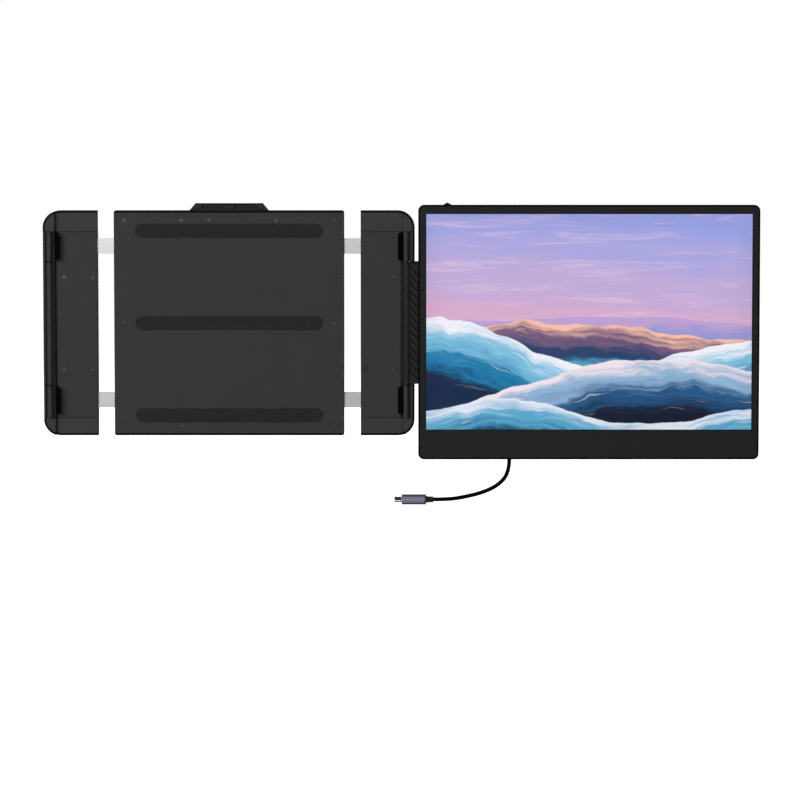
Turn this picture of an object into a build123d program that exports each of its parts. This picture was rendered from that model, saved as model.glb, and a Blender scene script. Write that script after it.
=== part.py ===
"""Laptop screen extender: a telescoping lid frame with a hinged portable monitor.

Millimetres. X points right, Y points back, Z points up. The origin is the centre of the face that
the laptop's lid rests on. The frame stands upright and the monitor is open beside it.
"""

import math
import os

from build123d import *

# ---- the laptop lid that the hooks grip at rest
lid_thickness = 6.0
lid_play = 0.2

# ---- frame, shared by the centre housing and both arms
frame_height = 204.6
frame_depth = 11.0
pad_proud = 0.5
pad_recess = 0.5
cover_thickness = 1.8
wall = 1.6
run_gap = 0.1
soft_gap = 0.3

# ---- centre housing
housing_width = 209.0
housing_corner = 2.0
pad_end_inset = 19.5
pad_height = 12.0
pad_edge_inset = 18.3
housing_screw_inset = 9.0
screw_r = 1.0
screw_head_r = 2.0
screw_head_depth = 1.1
screw_length = 6.0
boss_r = 3.0

housing_edge_round = 1.5
rail_wall_play = 0.3
bracket_tongue_half = 30.0
bracket_tongue_drop = 16.0
tongue_thickness = 2.0

# ---- arms
arm_gap = 15.0
arm_travel_out = 45.0
arm_width = 49.0
arm_corner = 15.5
top_cap_height = 18.9
bottom_cap_height = 15.9
cap_tongue = 5.4
nose_round = 5.0
rim_front = 4.8
rim_round = 1.6
cap_edge_round = 1.5
cap_band = 3.0
cap_screw_length = 5.0
cover_screw_below_hook = 15.6

# ---- rails between the arms and the housing
rail_height = 14.0
rail_thickness = 2.4
rail_below_tongue = 1.0
rail_front = 3.0
rail_engagement = 35.0
rail_in_arm = 24.0
rail_stop_width = 4.0
rail_stop_rise = 2.0
guide_height = 22.0
brake_length = 17.0
brake_width = 9.0
brake_strip = 0.35
brake_depth = 2.2

# ---- upright hinge barrels on the arms
barrel_r = 2.9
barrel_inset_right = 8.0
barrel_groove_right = 1.5
barrel_inset_left = 5.5
barrel_groove_left = 0.4
barrel_axis_y = -2.5
barrel_below_hook = 1.7
blank_ridge = 0.9
blank_ridge_rise = 3.0
washer_thickness = 0.5
hinge_pin_r = 1.5
pin_in_cap = 6.0

# ---- hooks over the lid's side edges
hook_inset = 12.2
hook_height = 24.6
hook_below_cap = 1.2
hook_sheet = 1.0
hook_lip = 4.0
hook_pad = 0.6
hook_flange = 10.0
hook_spring_strip = 0.3
hook_spring_folds = 4

# ---- kickstand
stand_width = 51.2
stand_recess_depth = 4.0
stand_axis_y = 9.5
stand_axis_rise = 3.3
stand_barrel_r = 1.9
stand_pin_r = 1.0
stand_pin_reach = 6.4
stand_slots = 5
stand_slot_pitch = 9.0
stand_slot_top = 40.0
stand_knuckle_width = 8.0
stand_foot_inset = 10.8
stand_slider_thickness = 1.4
stand_travel = 85.0
stand_overlap = 26.0
stand_foot_height = 8.0
stand_pad_height = 1.8
bracket_cheek = 4.9
bracket_splay = 5.4
bracket_height = 6.5
bracket_bar = 1.4
bracket_overlap = 0.8
bracket_saddle_drop = 1.2
bracket_lug_flange = 0.8
bracket_front = 5.0

# ---- monitor
monitor_gap = 3.3
monitor_width = 310.6
monitor_height = 232.0
monitor_rise = 5.0
monitor_front = 3.6
monitor_depth = 9.0
monitor_corner = 5.5
monitor_back_round = 3.5
monitor_wall = 1.6
bezel_left = 7.2
bezel_right = 6.9
bezel_top = 8.2
bezel_chin = 27.2
bezel_thickness = 2.0
bezel_lip = 0.7
panel_thickness = 1.6
panel_margin = 2.0
guide_sheet = 2.0
led_strip_height = 3.2
led_count = 24
tray_sheet = 0.6
backing_thickness = 1.2
bezel_edge_round = 0.7
shell_screw_length = 5.0
shell_boss_r = 1.9
speaker_length = 36.0
speaker_height = 13.0
speaker_inset = 24.0
speaker_slots = 11
speaker_slot_pitch = 2.6

# ---- electronics bulge on the monitor's back
bulge_inset = 54.2
bulge_far_inset = 46.4
bulge_foot = 32.7
bulge_height = 64.0
bulge_depth = 7.0
bulge_round = 2.4
bulge_corner = 6.0
board_inset = 10.0
board_far_inset = 40.0
board_thickness = 1.2
board_setback = 1.6
usb_width = 8.94
usb_height = 3.26
usb_depth = 7.35
usb_inset = 29.4
usb_pitch = 20.0
hdmi_pitch = 46.6
hdmi_width = 11.2
hdmi_height = 3.2

# ---- hinge plate between the right barrel and the monitor's back
plate_thickness = 2.2
plate_flange = 40.0
plate_groove_pitch = 7.3
plate_groove_width = 1.5
plate_groove_depth = 0.45
plate_groove_slope = 49.0
plate_knee = 1.0
plate_bend = 1.5
plate_corner = 6.0
plate_screw_length = 4.6

# ---- rocker on the monitor's top edge
rocker_inset = 26.5
rocker_width = 8.8
rocker_rise = 2.2
rocker_press = 0.5
rocker_depth = 3.8
rocker_setback = 3.4
rocker_pivot_drop = 2.4
rocker_clearance = 1.4
rocker_base_height = 1.5

# ---- cord: route from the monitor's plug to the laptop's plug
cord_r = 1.85
plug_length = 22.2
plug_width = 11.2
plug_thickness = 6.2
relief_length = 6.5
relief_r = 3.1
plug_tip_length = 6.6
plug_tip_width = 8.25
plug_tip_height = 2.4
plug_lean = 19.6
plug_stand_off = 0.3
cord_route = [
    (0.0, 0.0, 0.0),
    (0.0, 0.0, -9.0),
    (-2.8, -3.7, -19.8),
    (-11.2, -10.9, -27.7),
    (-24.4, -19.4, -33.0),
    (-39.4, -26.9, -36.0),
    (-54.9, -32.9, -38.1),
    (-70.0, -32.9, -38.1),
]

# ---- worked out from the sizes above
half_height = frame_height / 2
half_housing = housing_width / 2
front_y = pad_proud
cover_back = front_y + cover_thickness
back_y = front_y + frame_depth
pad_half_length = half_housing - pad_end_inset
pad_pitch = half_height - pad_edge_inset
floor_y = back_y - wall
rail_back = rail_front + rail_thickness
rail_in_housing = arm_travel_out + rail_engagement
guide_length = rail_engagement - rail_stop_width - wall - run_gap - soft_gap
brake_seat = rail_back + brake_depth
tongue_back = cover_back + tongue_thickness
arm_inner = half_housing + arm_gap
arm_outer = arm_inner + arm_width
arm_top = half_height - top_cap_height
arm_bottom = -half_height + bottom_cap_height
rail_level = arm_top - cap_tongue - rail_below_tongue - rail_height / 2
hook_low = arm_top - hook_below_cap - hook_height
cover_screw_level = hook_low - cover_screw_below_hook
barrel_half_length = hook_low - barrel_below_hook
knuckle_start = barrel_half_length + washer_thickness + 2 * run_gap
nose_start = barrel_half_length + 2 * run_gap
hook_web = arm_outer - hook_inset
hook_outer = hook_web + hook_sheet
hook_slot = hook_outer + soft_gap
lid_front = -lid_thickness
lip_back = lid_front - lid_play
lip_front = lip_back - hook_pad - hook_sheet
hook_back = floor_y - run_gap
recess_half = stand_width / 2 + 0.8
recess_floor = back_y - stand_recess_depth
stand_axis_z = half_height + stand_axis_rise
stand_pin_half = stand_width / 2 + stand_pin_reach
stand_leaf_foot = half_height - stand_foot_inset
bracket_top = stand_width + 2 * bracket_cheek
bracket_base = bracket_top + 2 * bracket_splay
monitor_top = half_height + monitor_rise
monitor_left = arm_outer + monitor_gap
monitor_right = monitor_left + monitor_width
monitor_bottom = monitor_top - monitor_height
monitor_back = monitor_front + monitor_depth
active_left = monitor_left + bezel_left
active_right = monitor_right - bezel_right
active_top = monitor_top - bezel_top
active_bottom = monitor_bottom + bezel_chin
shell_front = monitor_front + bezel_thickness
shell_floor = monitor_back - monitor_wall
panel_front = monitor_front + bezel_lip
guide_front = panel_front + panel_thickness + run_gap
tray_back = guide_front + guide_sheet + run_gap + tray_sheet
bulge_back = monitor_back + bulge_depth
bulge_left = monitor_left + bulge_inset
bulge_right = monitor_right - bulge_far_inset
bulge_bottom = monitor_bottom + bulge_foot
bulge_top = bulge_bottom + bulge_height
usb_x = bulge_left + usb_inset
hdmi_x = usb_x + hdmi_pitch
board_back = monitor_back + board_setback
port_y = board_back + usb_height / 2 + 0.07
board_left = bulge_left + board_inset
board_right = bulge_right - board_far_inset
board_low = bulge_bottom + monitor_wall + 0.5
board_high = bulge_top - 8.0
rocker_front = monitor_front + rocker_setback
rocker_back = rocker_front + rocker_depth
rocker_mid = (rocker_front + rocker_back) / 2
rocker_pivot_z = monitor_top - rocker_pivot_drop
rocker_x = monitor_left + rocker_inset
plug_mouth_z = bulge_bottom - plug_stand_off
cord_start = (usb_x, port_y, plug_mouth_z - plug_length - relief_length)
cord_points = [tuple(a + b for a, b in zip(cord_start, step)) for step in cord_route]
right_axis = arm_outer - barrel_inset_right
left_axis = arm_outer - barrel_inset_left
steel_hole = hinge_pin_r + 0.05


# ---- small builders
def block(x0, x1, y0, y1, z0, z1):
    """A box between two corners."""
    centre = Location(((x0 + x1) / 2, (y0 + y1) / 2, (z0 + z1) / 2))
    return centre * Box(x1 - x0, y1 - y0, z1 - z0)


def rod_x(y, z, r, x0, x1):
    """A cylinder along X."""
    return Location(((x0 + x1) / 2, y, z)) * Rotation(0, 90, 0) * Cylinder(r, x1 - x0)


def rod_y(x, z, r, y0, y1):
    """A cylinder along Y."""
    return Location((x, (y0 + y1) / 2, z)) * Rotation(90, 0, 0) * Cylinder(r, y1 - y0)


def rod_z(x, y, r, z0, z1):
    """A cylinder along Z."""
    return Location((x, y, (z0 + z1) / 2)) * Cylinder(r, z1 - z0)


def front_profile(points, y0, y1):
    """A face drawn in X and Z, thickened from y0 back to y1."""
    plane = Plane(origin=(0, y1, 0), x_dir=(1, 0, 0), z_dir=(0, -1, 0))
    return extrude(plane * make_face(Polyline(*points, close=True)), amount=y1 - y0)


def plan_profile(face, z0, z1):
    """A face drawn in X and Y, raised from z0 to z1."""
    return extrude(Plane(origin=(0, 0, z0)) * face, amount=z1 - z0)


def rounded_panel(x0, x1, z0, z1, y0, y1, radius):
    """A box whose four edges along Y are rounded."""
    body = block(x0, x1, y0, y1, z0, z1)
    return fillet(body.edges().filter_by(Axis.Y), radius)


def mirror_x(shape):
    """The same piece on the other side of the frame."""
    return mirror(shape, about=Plane.YZ)


def screw_y(x, z, head_front, length=screw_length, back=False):
    """A countersunk screw along Y with a cross slot; its head faces front, or back."""
    head = Cone(screw_r, screw_head_r, screw_head_depth)
    shank = Location((0, 0, -length / 2)) * Cylinder(screw_r, length)
    slot = Location((0, 0, screw_head_depth / 2)) * Box(2.4, 0.5, 0.7)
    head -= slot + Rotation(0, 0, 90) * slot
    body = head + shank
    lift = Location((0, 0, -screw_head_depth / 2))
    turn = Rotation(-90, 0, 0) if back else Rotation(90, 0, 0)
    return Location((x, head_front, z)) * turn * lift * body


def screw_hole_y(x, z, head_front, length=screw_length, back=False):
    """The hole that screw_y fills."""
    head = Cone(screw_r, screw_head_r, screw_head_depth)
    shank = Location((0, 0, -length / 2)) * Cylinder(screw_r, length)
    lift = Location((0, 0, -screw_head_depth / 2))
    turn = Rotation(-90, 0, 0) if back else Rotation(90, 0, 0)
    return Location((x, head_front, z)) * turn * lift * (head + shank)


def bowed_strip(x0, x1, y_ends, y_crest, z0, z1, strip):
    """A leaf spring: a strip bowed in plan, its ends at y_ends and its crest at y_crest."""
    middle = (x0 + x1) / 2
    inset = strip if y_crest > y_ends else -strip
    outer = ThreePointArc((x0, y_ends), (middle, y_crest), (x1, y_ends))
    inner = ThreePointArc((x1, y_ends - inset), (middle, y_crest - inset), (x0, y_ends - inset))
    start = Line((x0, y_ends - inset), (x0, y_ends))
    end = Line((x1, y_ends), (x1, y_ends - inset))
    return plan_profile(make_face(Wire([outer, end, inner, start])), z0, z1)


# ---- centre housing
def housing_screw_places():
    """Where the housing's screws stand, in X and Z."""
    edge_x = half_housing - housing_screw_inset
    edge_z = half_height - housing_screw_inset
    corners = [(sx * edge_x, sz * edge_z) for sx in (-1, 1) for sz in (-1, 1)]
    sides = [(sx * edge_x, 0.0) for sx in (-1, 1)]
    inner = [(sx * edge_x * 0.45, sz * edge_z) for sx in (-1, 1) for sz in (-1, 1)]
    return corners + sides + inner


def bracket_screw_places():
    """Where the kickstand bracket's tongue is screwed down."""
    level = half_height - housing_screw_inset
    return [(side * bracket_tongue_half * 0.6, level) for side in (-1, 1)]


def make_front_cover():
    """Flat cover behind the lid, with seats for the rubber pads."""
    body = rounded_panel(
        -half_housing, half_housing, -half_height, half_height, front_y, cover_back, housing_corner
    )
    for level in (-pad_pitch, 0, pad_pitch):
        body -= pad_shape(level, front_y - 0.5, front_y + pad_recess)
    for x, z in housing_screw_places() + bracket_screw_places():
        body -= screw_hole_y(x, z, front_y)
    return body


def pad_shape(level, y0, y1):
    """One long pad with round ends."""
    low, high = level - pad_height / 2, level + pad_height / 2
    radius = pad_height / 2 - 0.01
    return rounded_panel(-pad_half_length, pad_half_length, low, high, y0, y1, radius)


def make_lid_pads():
    """Rubber strips that the lid rests on."""
    return [pad_shape(level, 0, front_y + pad_recess) for level in (-pad_pitch, 0, pad_pitch)]


def rail_cut(x0, x1, level, play):
    """The space one rail runs in."""
    half = rail_height / 2 + play
    return block(x0, x1, rail_front - play, rail_back + play, level - half, level + half)


def make_rear_housing():
    """Tray that holds the rails, with the kickstand's recess down its back."""
    body = rounded_panel(
        -half_housing, half_housing, -half_height, half_height, cover_back, back_y, housing_corner
    )
    body = fillet(body.faces().sort_by(Axis.Y)[-1].edges(), housing_edge_round)
    inner_x, inner_z = half_housing - wall, half_height - wall
    cavity = block(-inner_x, inner_x, cover_back, floor_y, -inner_z, inner_z)
    shelf = recess_half + wall
    cavity -= block(-shelf, shelf, recess_floor - wall, back_y, -half_height, half_height)
    body -= cavity
    body -= block(
        -recess_half, recess_half, recess_floor, back_y + 1, -half_height - 1, half_height + 1
    )
    for x, z in housing_screw_places():
        seat = floor_y if abs(x) - boss_r > shelf else recess_floor - wall
        body += rod_y(x, z, boss_r, cover_back, seat)
        body -= screw_hole_y(x, z, front_y)
    tongue = bracket_tongue_half + run_gap
    body -= block(
        -tongue, tongue, cover_back - 1, tongue_back + run_gap, inner_z - 1, half_height + 1
    )
    for x, z in bracket_screw_places():
        body += rod_y(x, z, boss_r, tongue_back, recess_floor - wall)
        body -= screw_hole_y(x, z, front_y)
    for side in (-1, 1):
        for level in (-rail_level, rail_level):
            x0, x1 = sorted((side * (inner_x - 1), side * (half_housing + 1)))
            body -= rail_cut(x0, x1, level, rail_wall_play)
    return body


def make_guide_blocks():
    """Four plastic shoes that the rails run through."""
    outer = half_housing - wall - run_gap
    inner = outer - guide_length
    blocks = []
    for level in (-rail_level, rail_level):
        half = guide_height / 2
        shoe = block(inner, outer, cover_back, floor_y, level - half, level + half)
        shoe -= rail_cut(inner - 1, outer + 1, level, run_gap)
        x0 = (inner + outer - brake_length) / 2
        low, high = level - brake_width / 2, level + brake_width / 2
        shoe -= block(x0, x0 + brake_length, rail_back, brake_seat, low, high)
        blocks += [shoe, mirror_x(shoe)]
    return blocks


def make_brake_springs():
    """Four bowed strips that press on the rails, so an arm stays where it is put."""
    outer = half_housing - wall - run_gap
    inner = outer - guide_length
    x0 = (inner + outer - brake_length) / 2 + run_gap
    x1 = x0 + brake_length - 2 * run_gap
    springs = []
    for level in (-rail_level, rail_level):
        low, high = level - brake_width / 2 + 0.5, level + brake_width / 2 - 0.5
        strip = bowed_strip(
            x0, x1, brake_seat - brake_strip, rail_back + 0.05, low, high, brake_strip
        )
        springs += [strip, mirror_x(strip)]
    return springs


def make_housing_screws():
    """Screws of the front cover and of the kickstand bracket."""
    places = housing_screw_places() + bracket_screw_places()
    short = recess_floor - front_y - 1.0
    return [
        screw_y(x, z, front_y, short if abs(x) < recess_half + wall + boss_r else screw_length)
        for x, z in places
    ]


# ---- kickstand
def make_stand_bracket():
    """Bracket on the housing's top edge that carries the kickstand's hinge."""
    z0, z1 = half_height, half_height + bracket_height
    inner = stand_width / 2 + 0.5
    outline = [
        (-bracket_base / 2, z0),
        (-bracket_top / 2, z1),
        (bracket_top / 2, z1),
        (bracket_base / 2, z0),
    ]
    body = front_profile(outline, bracket_front, back_y)
    mouth = stand_width / 2 - bracket_overlap
    body -= block(-mouth, mouth, bracket_front - 1, back_y + 1, z0 + bracket_bar, z1 - bracket_bar)
    body -= block(-inner, inner, recess_floor - run_gap, back_y + 1, z0 - 1, z1 + 1)
    half = stand_knuckle_width / 2
    seat = stand_axis_z - bracket_saddle_drop
    saddle = block(-half, half, bracket_front + 1, stand_axis_y, z0, seat)
    body += saddle + rod_x(stand_axis_y, stand_axis_z, stand_barrel_r, -half, half)
    lug = half + bracket_lug_flange
    lug_back = stand_axis_y - stand_barrel_r - 2 * soft_gap
    body += block(-lug, lug, bracket_front + 1, lug_back, z0, z1 - bracket_bar / 2)
    width = bracket_tongue_half
    body += block(-width, width, cover_back, tongue_back, z0 - bracket_tongue_drop, z0 + 0.5)
    body += block(-width, width, cover_back, bracket_front + 1, z0, z0 + bracket_bar)
    for x, z in bracket_screw_places():
        body -= screw_hole_y(x, z, front_y)
    return body - rod_x(stand_axis_y, stand_axis_z, stand_pin_r, -stand_pin_half, stand_pin_half)


def make_stand_pin():
    """Steel pin of the kickstand's hinge."""
    return rod_x(stand_axis_y, stand_axis_z, stand_pin_r, -stand_pin_half, stand_pin_half)


def make_stand_leaf():
    """Kickstand's upper leaf: a channel with two hinge barrels at its head."""
    half = stand_width / 2
    front = recess_floor + soft_gap
    web = front + 0.8 + stand_slider_thickness + 2 * run_gap
    head = half_height - 3.0
    body = block(-half, half, front, back_y, -stand_leaf_foot, stand_axis_z - 1.2)
    body = fillet(body.edges().filter_by(Axis.Z).group_by(Axis.Y)[-1], 0.8)
    body -= block(-half + 1.4, half - 1.4, front + 0.8, web, -stand_leaf_foot - 1, head)
    body -= block(-half + 3.6, half - 3.6, front - 1, web, -stand_leaf_foot - 1, head)
    for level in range(stand_slots):
        z = stand_slot_top - level * stand_slot_pitch
        body -= rounded_panel(-9, 9, z - 2, z + 2, web - 0.5, back_y + 1, 1.9)
    body += rod_x(stand_axis_y, stand_axis_z, stand_barrel_r, -half, half)
    notch = stand_knuckle_width / 2 + soft_gap
    body -= block(-notch, notch, front - 1, back_y + 1, half_height - 1.5, stand_axis_z + 5)
    return body - rod_x(stand_axis_y, stand_axis_z, stand_pin_r + 0.05, -half - 1, half + 1)


def make_stand_slider():
    """Kickstand's sliding leg, with a thick foot."""
    half = stand_width / 2
    front = recess_floor + soft_gap
    y0 = front + 0.8 + run_gap
    y1 = y0 + stand_slider_thickness
    top = -stand_leaf_foot + stand_travel + stand_overlap
    body = block(-half + 1.4 + soft_gap, half - 1.4 - soft_gap, y0, y1, -stand_leaf_foot - 4, top)
    foot_top = -stand_leaf_foot - 0.3
    foot_bottom = foot_top - stand_foot_height
    foot = rounded_panel(-half, half, foot_bottom, foot_top, front, back_y, 1.5)
    foot = fillet(foot.faces().sort_by(Axis.Y)[-1].edges(), 0.6)
    grip = rounded_panel(-14, 14, foot_bottom + 2, foot_top - 2, back_y - 0.8, back_y + 1, 1.5)
    return body + (foot - grip)


def make_stand_pad():
    """Rubber sole under the sliding leg."""
    half = stand_width / 2
    top = -stand_leaf_foot - 0.3 - stand_foot_height
    front = recess_floor + soft_gap
    return block(-half, half, front, back_y, top - stand_pad_height, top)


# ---- arms, made as the right one; the left is mirrored
def nose_face(axis_x, groove):
    """Plan section of an arm's outer edge beside the barrel: a floor, a nose and a rim."""
    rim_x = axis_x + barrel_r + groove
    base = hook_slot
    outline = Polyline(
        (base, front_y),
        (rim_x, front_y),
        (rim_x, -rim_front),
        (arm_outer, -rim_front),
        (arm_outer, back_y),
        (base, back_y),
        close=True,
    )
    face = make_face(outline)
    front_corner = face.vertices().sort_by_distance(Vector(arm_outer, -rim_front, 0))[0]
    face = fillet(front_corner, rim_round)
    back_corner = face.vertices().sort_by_distance(Vector(arm_outer, back_y, 0))[0]
    return fillet(back_corner, nose_round)


def make_arm_frame(axis_x, groove, blank=False):
    """Arm's tray with the fixed knuckles at both ends; the nose runs right through if it is blank."""
    body = block(arm_inner, hook_outer, cover_back, back_y, arm_bottom, arm_top)
    body += block(hook_outer - 1, hook_slot + 1, floor_y, back_y, arm_bottom, arm_top)
    nose = nose_face(axis_x, groove)
    knuckle = Location((axis_x, barrel_axis_y)) * Circle(barrel_r)
    neck = Location((axis_x, (barrel_axis_y + front_y) / 2))
    neck *= Rectangle(barrel_r * 1.4, front_y - barrel_axis_y + 0.2)
    for z0, z1 in ((knuckle_start, arm_top), (arm_bottom, -knuckle_start)):
        body += plan_profile(nose + knuckle + neck, z0, z1)
    for z0, z1 in ((arm_bottom, arm_top),) if blank else ((nose_start, arm_top), (arm_bottom, -nose_start)):
        body += plan_profile(nose, z0, z1)
    if blank:
        ridge_x = (hook_slot + axis_x - barrel_r - blank_ridge) / 2
        ridge_y = front_y - blank_ridge_rise
        body += block(ridge_x, ridge_x + blank_ridge, ridge_y, front_y + 1, arm_bottom, arm_top)
    body -= block(
        arm_inner + wall, hook_web - soft_gap - wall, cover_back - 1, floor_y, arm_bottom - 1, arm_top + 1
    )
    for sign in (-1, 1):
        z0, z1 = sorted((sign * (hook_low - 0.4), sign * (hook_low + hook_height + 0.4)))
        body -= block(hook_web - 12.5, hook_slot, -10, floor_y, z0, z1)
        level = sign * rail_level
        body -= rail_cut(arm_inner - 1, arm_inner + wall + 1, level, rail_wall_play)
        half = rail_height / 2
        end = arm_inner + wall + rail_in_arm
        body += block(arm_inner + wall, end, rail_back, floor_y, level - half, level + half)
        for x in rail_screw_places():
            body -= screw_hole_y(x, level, rail_front)
        for x, z in cover_screw_places():
            body += rod_y(x, sign * z, boss_r * 0.85, cover_back, floor_y)
            body -= screw_hole_y(x, sign * z, front_y)
    for x, z in cap_screw_places():
        body -= screw_hole_y(x, z, back_y, cap_screw_length, back=True)
    return body - rod_z(axis_x, barrel_axis_y, hinge_pin_r, arm_bottom - 1, arm_top + 1)


def rail_screw_places():
    """X of the two screws that hold a rail in its arm."""
    start = arm_inner + wall
    return [start + rail_in_arm * 0.3, start + rail_in_arm * 0.75]


def cover_screw_places():
    """X and height above the middle of the arm cover's screws."""
    return [(x, cover_screw_level) for x in (arm_inner + wall + 3.0, hook_web - wall - 5.0)]


def cap_screw_places():
    """X and Z of the screws through the frame's back into the caps' tongues."""
    x = arm_inner + arm_width * 0.3
    return [(x, arm_top - cap_tongue / 2), (x, arm_bottom + cap_tongue / 2)]


def make_arm_cover():
    """Flat front cover of an arm."""
    x1 = hook_web - soft_gap
    body = block(arm_inner, x1, front_y, cover_back, arm_bottom, arm_top)
    for sign in (-1, 1):
        for x, z in cover_screw_places():
            body -= screw_hole_y(x, sign * z, front_y)
    return body


def make_cap(axis_x, top=True):
    """Rounded end cap of an arm, with a tongue and a socket for the hinge pin."""
    z_in = arm_top if top else arm_bottom
    z_out = half_height if top else -half_height
    low, high = min(z_in, z_out), max(z_in, z_out)
    body = block(arm_inner, arm_outer, front_y, back_y, low, high)
    raised = block(hook_slot + 0.2, arm_outer, -rim_front, front_y + 1, low, high)
    body += raised
    outer = body.edges().filter_by(Axis.Y).filter_by(lambda e: e.center().X > arm_outer - 1)
    corner = outer.sort_by(Axis.Z)[-1 if top else 0]
    body = fillet(corner, arm_corner)
    rim = body.faces().sort_by(Axis.Y)[-1].edges()
    rim = rim.filter_by(lambda e: abs(e.center().Z - z_in) > 0.1)
    body = fillet(rim, cap_edge_round)
    outward = 1 if top else -1
    p0, p1 = sorted((z_in + outward * cap_band, z_out - outward * wall))
    body -= block(arm_inner + wall, hook_web - wall, cover_back, floor_y, p0, p1)
    x0, x1 = arm_inner + wall + run_gap, arm_inner + arm_width * 0.55
    t0, t1 = sorted((z_in - outward * cap_tongue, z_in + outward))
    body += block(x0, x1, cover_back + run_gap, floor_y - run_gap, t0, t1)
    for x, z in cap_screw_places():
        body -= screw_hole_y(x, z, back_y, cap_screw_length, back=True)
    p0, p1 = sorted((z_in - outward, z_in + outward * pin_in_cap))
    return body - rod_z(axis_x, barrel_axis_y, hinge_pin_r, p0, p1)


def make_rails():
    """Two flat steel bars that slide into the housing, with a stop at the inner end."""
    x0 = half_housing - rail_in_housing
    x1 = arm_inner + wall + rail_in_arm
    rails = []
    for level in (-rail_level, rail_level):
        half = rail_height / 2
        bar = block(x0, x1, rail_front, rail_back, level - half, level + half)
        rise = half + rail_stop_rise
        bar += block(x0, x0 + rail_stop_width, rail_front, rail_back, level - rise, level + rise)
        for x in rail_screw_places():
            bar -= screw_hole_y(x, level, rail_front)
        rails.append(bar)
    return rails


def make_blank_barrel(axis_x):
    """Plain middle knuckle of the arm that carries no monitor."""
    half = barrel_half_length
    body = rod_z(axis_x, barrel_axis_y, barrel_r, -half, half)
    return body - rod_z(axis_x, barrel_axis_y, hinge_pin_r, -half - 1, half + 1)


def make_hinge_pin(axis_x):
    """Long steel pin through an arm's three knuckles."""
    return rod_z(axis_x, barrel_axis_y, hinge_pin_r, arm_bottom - pin_in_cap, arm_top + pin_in_cap)


def make_hinge_washers(axis_x):
    """Two friction washers between the knuckles."""
    washers = []
    for sign in (-1, 1):
        start = sign * (barrel_half_length + run_gap)
        z0, z1 = sorted((start, start + sign * washer_thickness))
        ring = rod_z(axis_x, barrel_axis_y, barrel_r - 0.3, z0, z1)
        washers.append(ring - rod_z(axis_x, barrel_axis_y, hinge_pin_r, z0 - 1, z1 + 1))
    return washers


def make_arm_screws():
    """Screws of an arm: its cover, its rails and its caps."""
    screws = []
    for sign in (-1, 1):
        screws += [screw_y(x, sign * z, front_y) for x, z in cover_screw_places()]
        screws += [screw_y(x, sign * rail_level, rail_front) for x in rail_screw_places()]
    for x, z in cap_screw_places():
        screws.append(screw_y(x, z, back_y, cap_screw_length, back=True))
    return screws


def make_hook(sign):
    """Steel hook over the lid's side edge: lip, web and the flange its spring bears on."""
    z0, z1 = sorted((sign * hook_low, sign * (hook_low + hook_height)))
    web = block(hook_web, hook_outer, lip_front, hook_back, z0, z1)
    lip = block(hook_outer - hook_lip, hook_outer, lip_front, lip_front + hook_sheet, z0, z1)
    flange = block(hook_outer - hook_flange, hook_outer, hook_back - hook_sheet, hook_back, z0, z1)
    body = web + lip + flange
    corner = body.edges().filter_by(Axis.Z).sort_by_distance(Vector(hook_outer, lip_front, 0))[0]
    body = fillet(corner, hook_sheet * 0.8)
    tips = body.edges().filter_by(Axis.Y).filter_by(
        lambda e: e.center().X < hook_outer - hook_lip + 0.1 and e.center().Y < 0
    )
    return fillet(tips, 1.2)


def make_hook_pad(sign):
    """Rubber lining of a hook's lip."""
    edge = 1.4
    z0, z1 = sorted((sign * (hook_low + edge), sign * (hook_low + hook_height - edge)))
    x0 = hook_outer - hook_lip + 0.4
    return block(x0, hook_web, lip_back - hook_pad, lip_back, z0, z1)


def make_hook_springs():
    """Folded strips between an arm's cover and its hooks' flanges."""
    x0 = hook_outer - hook_flange + 0.6
    x1 = hook_web - soft_gap - 0.7
    low, high = cover_back + hook_spring_strip / 2, hook_back - hook_sheet - hook_spring_strip / 2
    rise = (high - low) / hook_spring_folds
    folds = [(x0 if fold % 2 else x1, low + fold * rise) for fold in range(hook_spring_folds + 1)]
    strip = trace(Polyline(*folds), line_width=hook_spring_strip)
    springs = []
    for sign in (-1, 1):
        middle = sign * (hook_low + hook_height / 2)
        springs.append(plan_profile(strip, middle - 6, middle + 6))
    return springs


# ---- hinge plate
def plate_section():
    """Plan section: from the barrel back past the monitor's edge, then flat behind it."""
    flange_y = monitor_back + plate_thickness / 2
    knee_x = monitor_left + plate_knee
    path = FilletPolyline(
        (right_axis, barrel_axis_y),
        (knee_x, flange_y),
        (monitor_left + plate_flange, flange_y),
        radius=plate_bend,
    )
    return trace(path, line_width=plate_thickness)


def make_hinge_plate():
    """Barrel, sloping web with slanting grooves, and the flange screwed to the monitor."""
    half = barrel_half_length
    body = plan_profile(plate_section(), -half, half)
    body += rod_z(right_axis, barrel_axis_y, barrel_r, -half, half)
    far = body.edges().filter_by(Axis.Y).filter_by(
        lambda e: e.center().X > monitor_left + plate_flange - 0.1
    )
    body = fillet(far, plate_corner)
    body -= plate_grooves(half)
    for x, z in plate_screw_places():
        body -= screw_hole_y(x, z, monitor_back + plate_thickness, plate_screw_length, back=True)
    return body - rod_z(right_axis, barrel_axis_y, steel_hole, -half - 1, half + 1)


def plate_screw_places():
    """X and Z of the flange's screws."""
    columns = (monitor_left + plate_flange * 0.4, monitor_left + plate_flange * 0.8)
    rows = (-barrel_half_length * 0.78, 0, barrel_half_length * 0.78)
    return [(x, z) for x in columns for z in rows]


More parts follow.
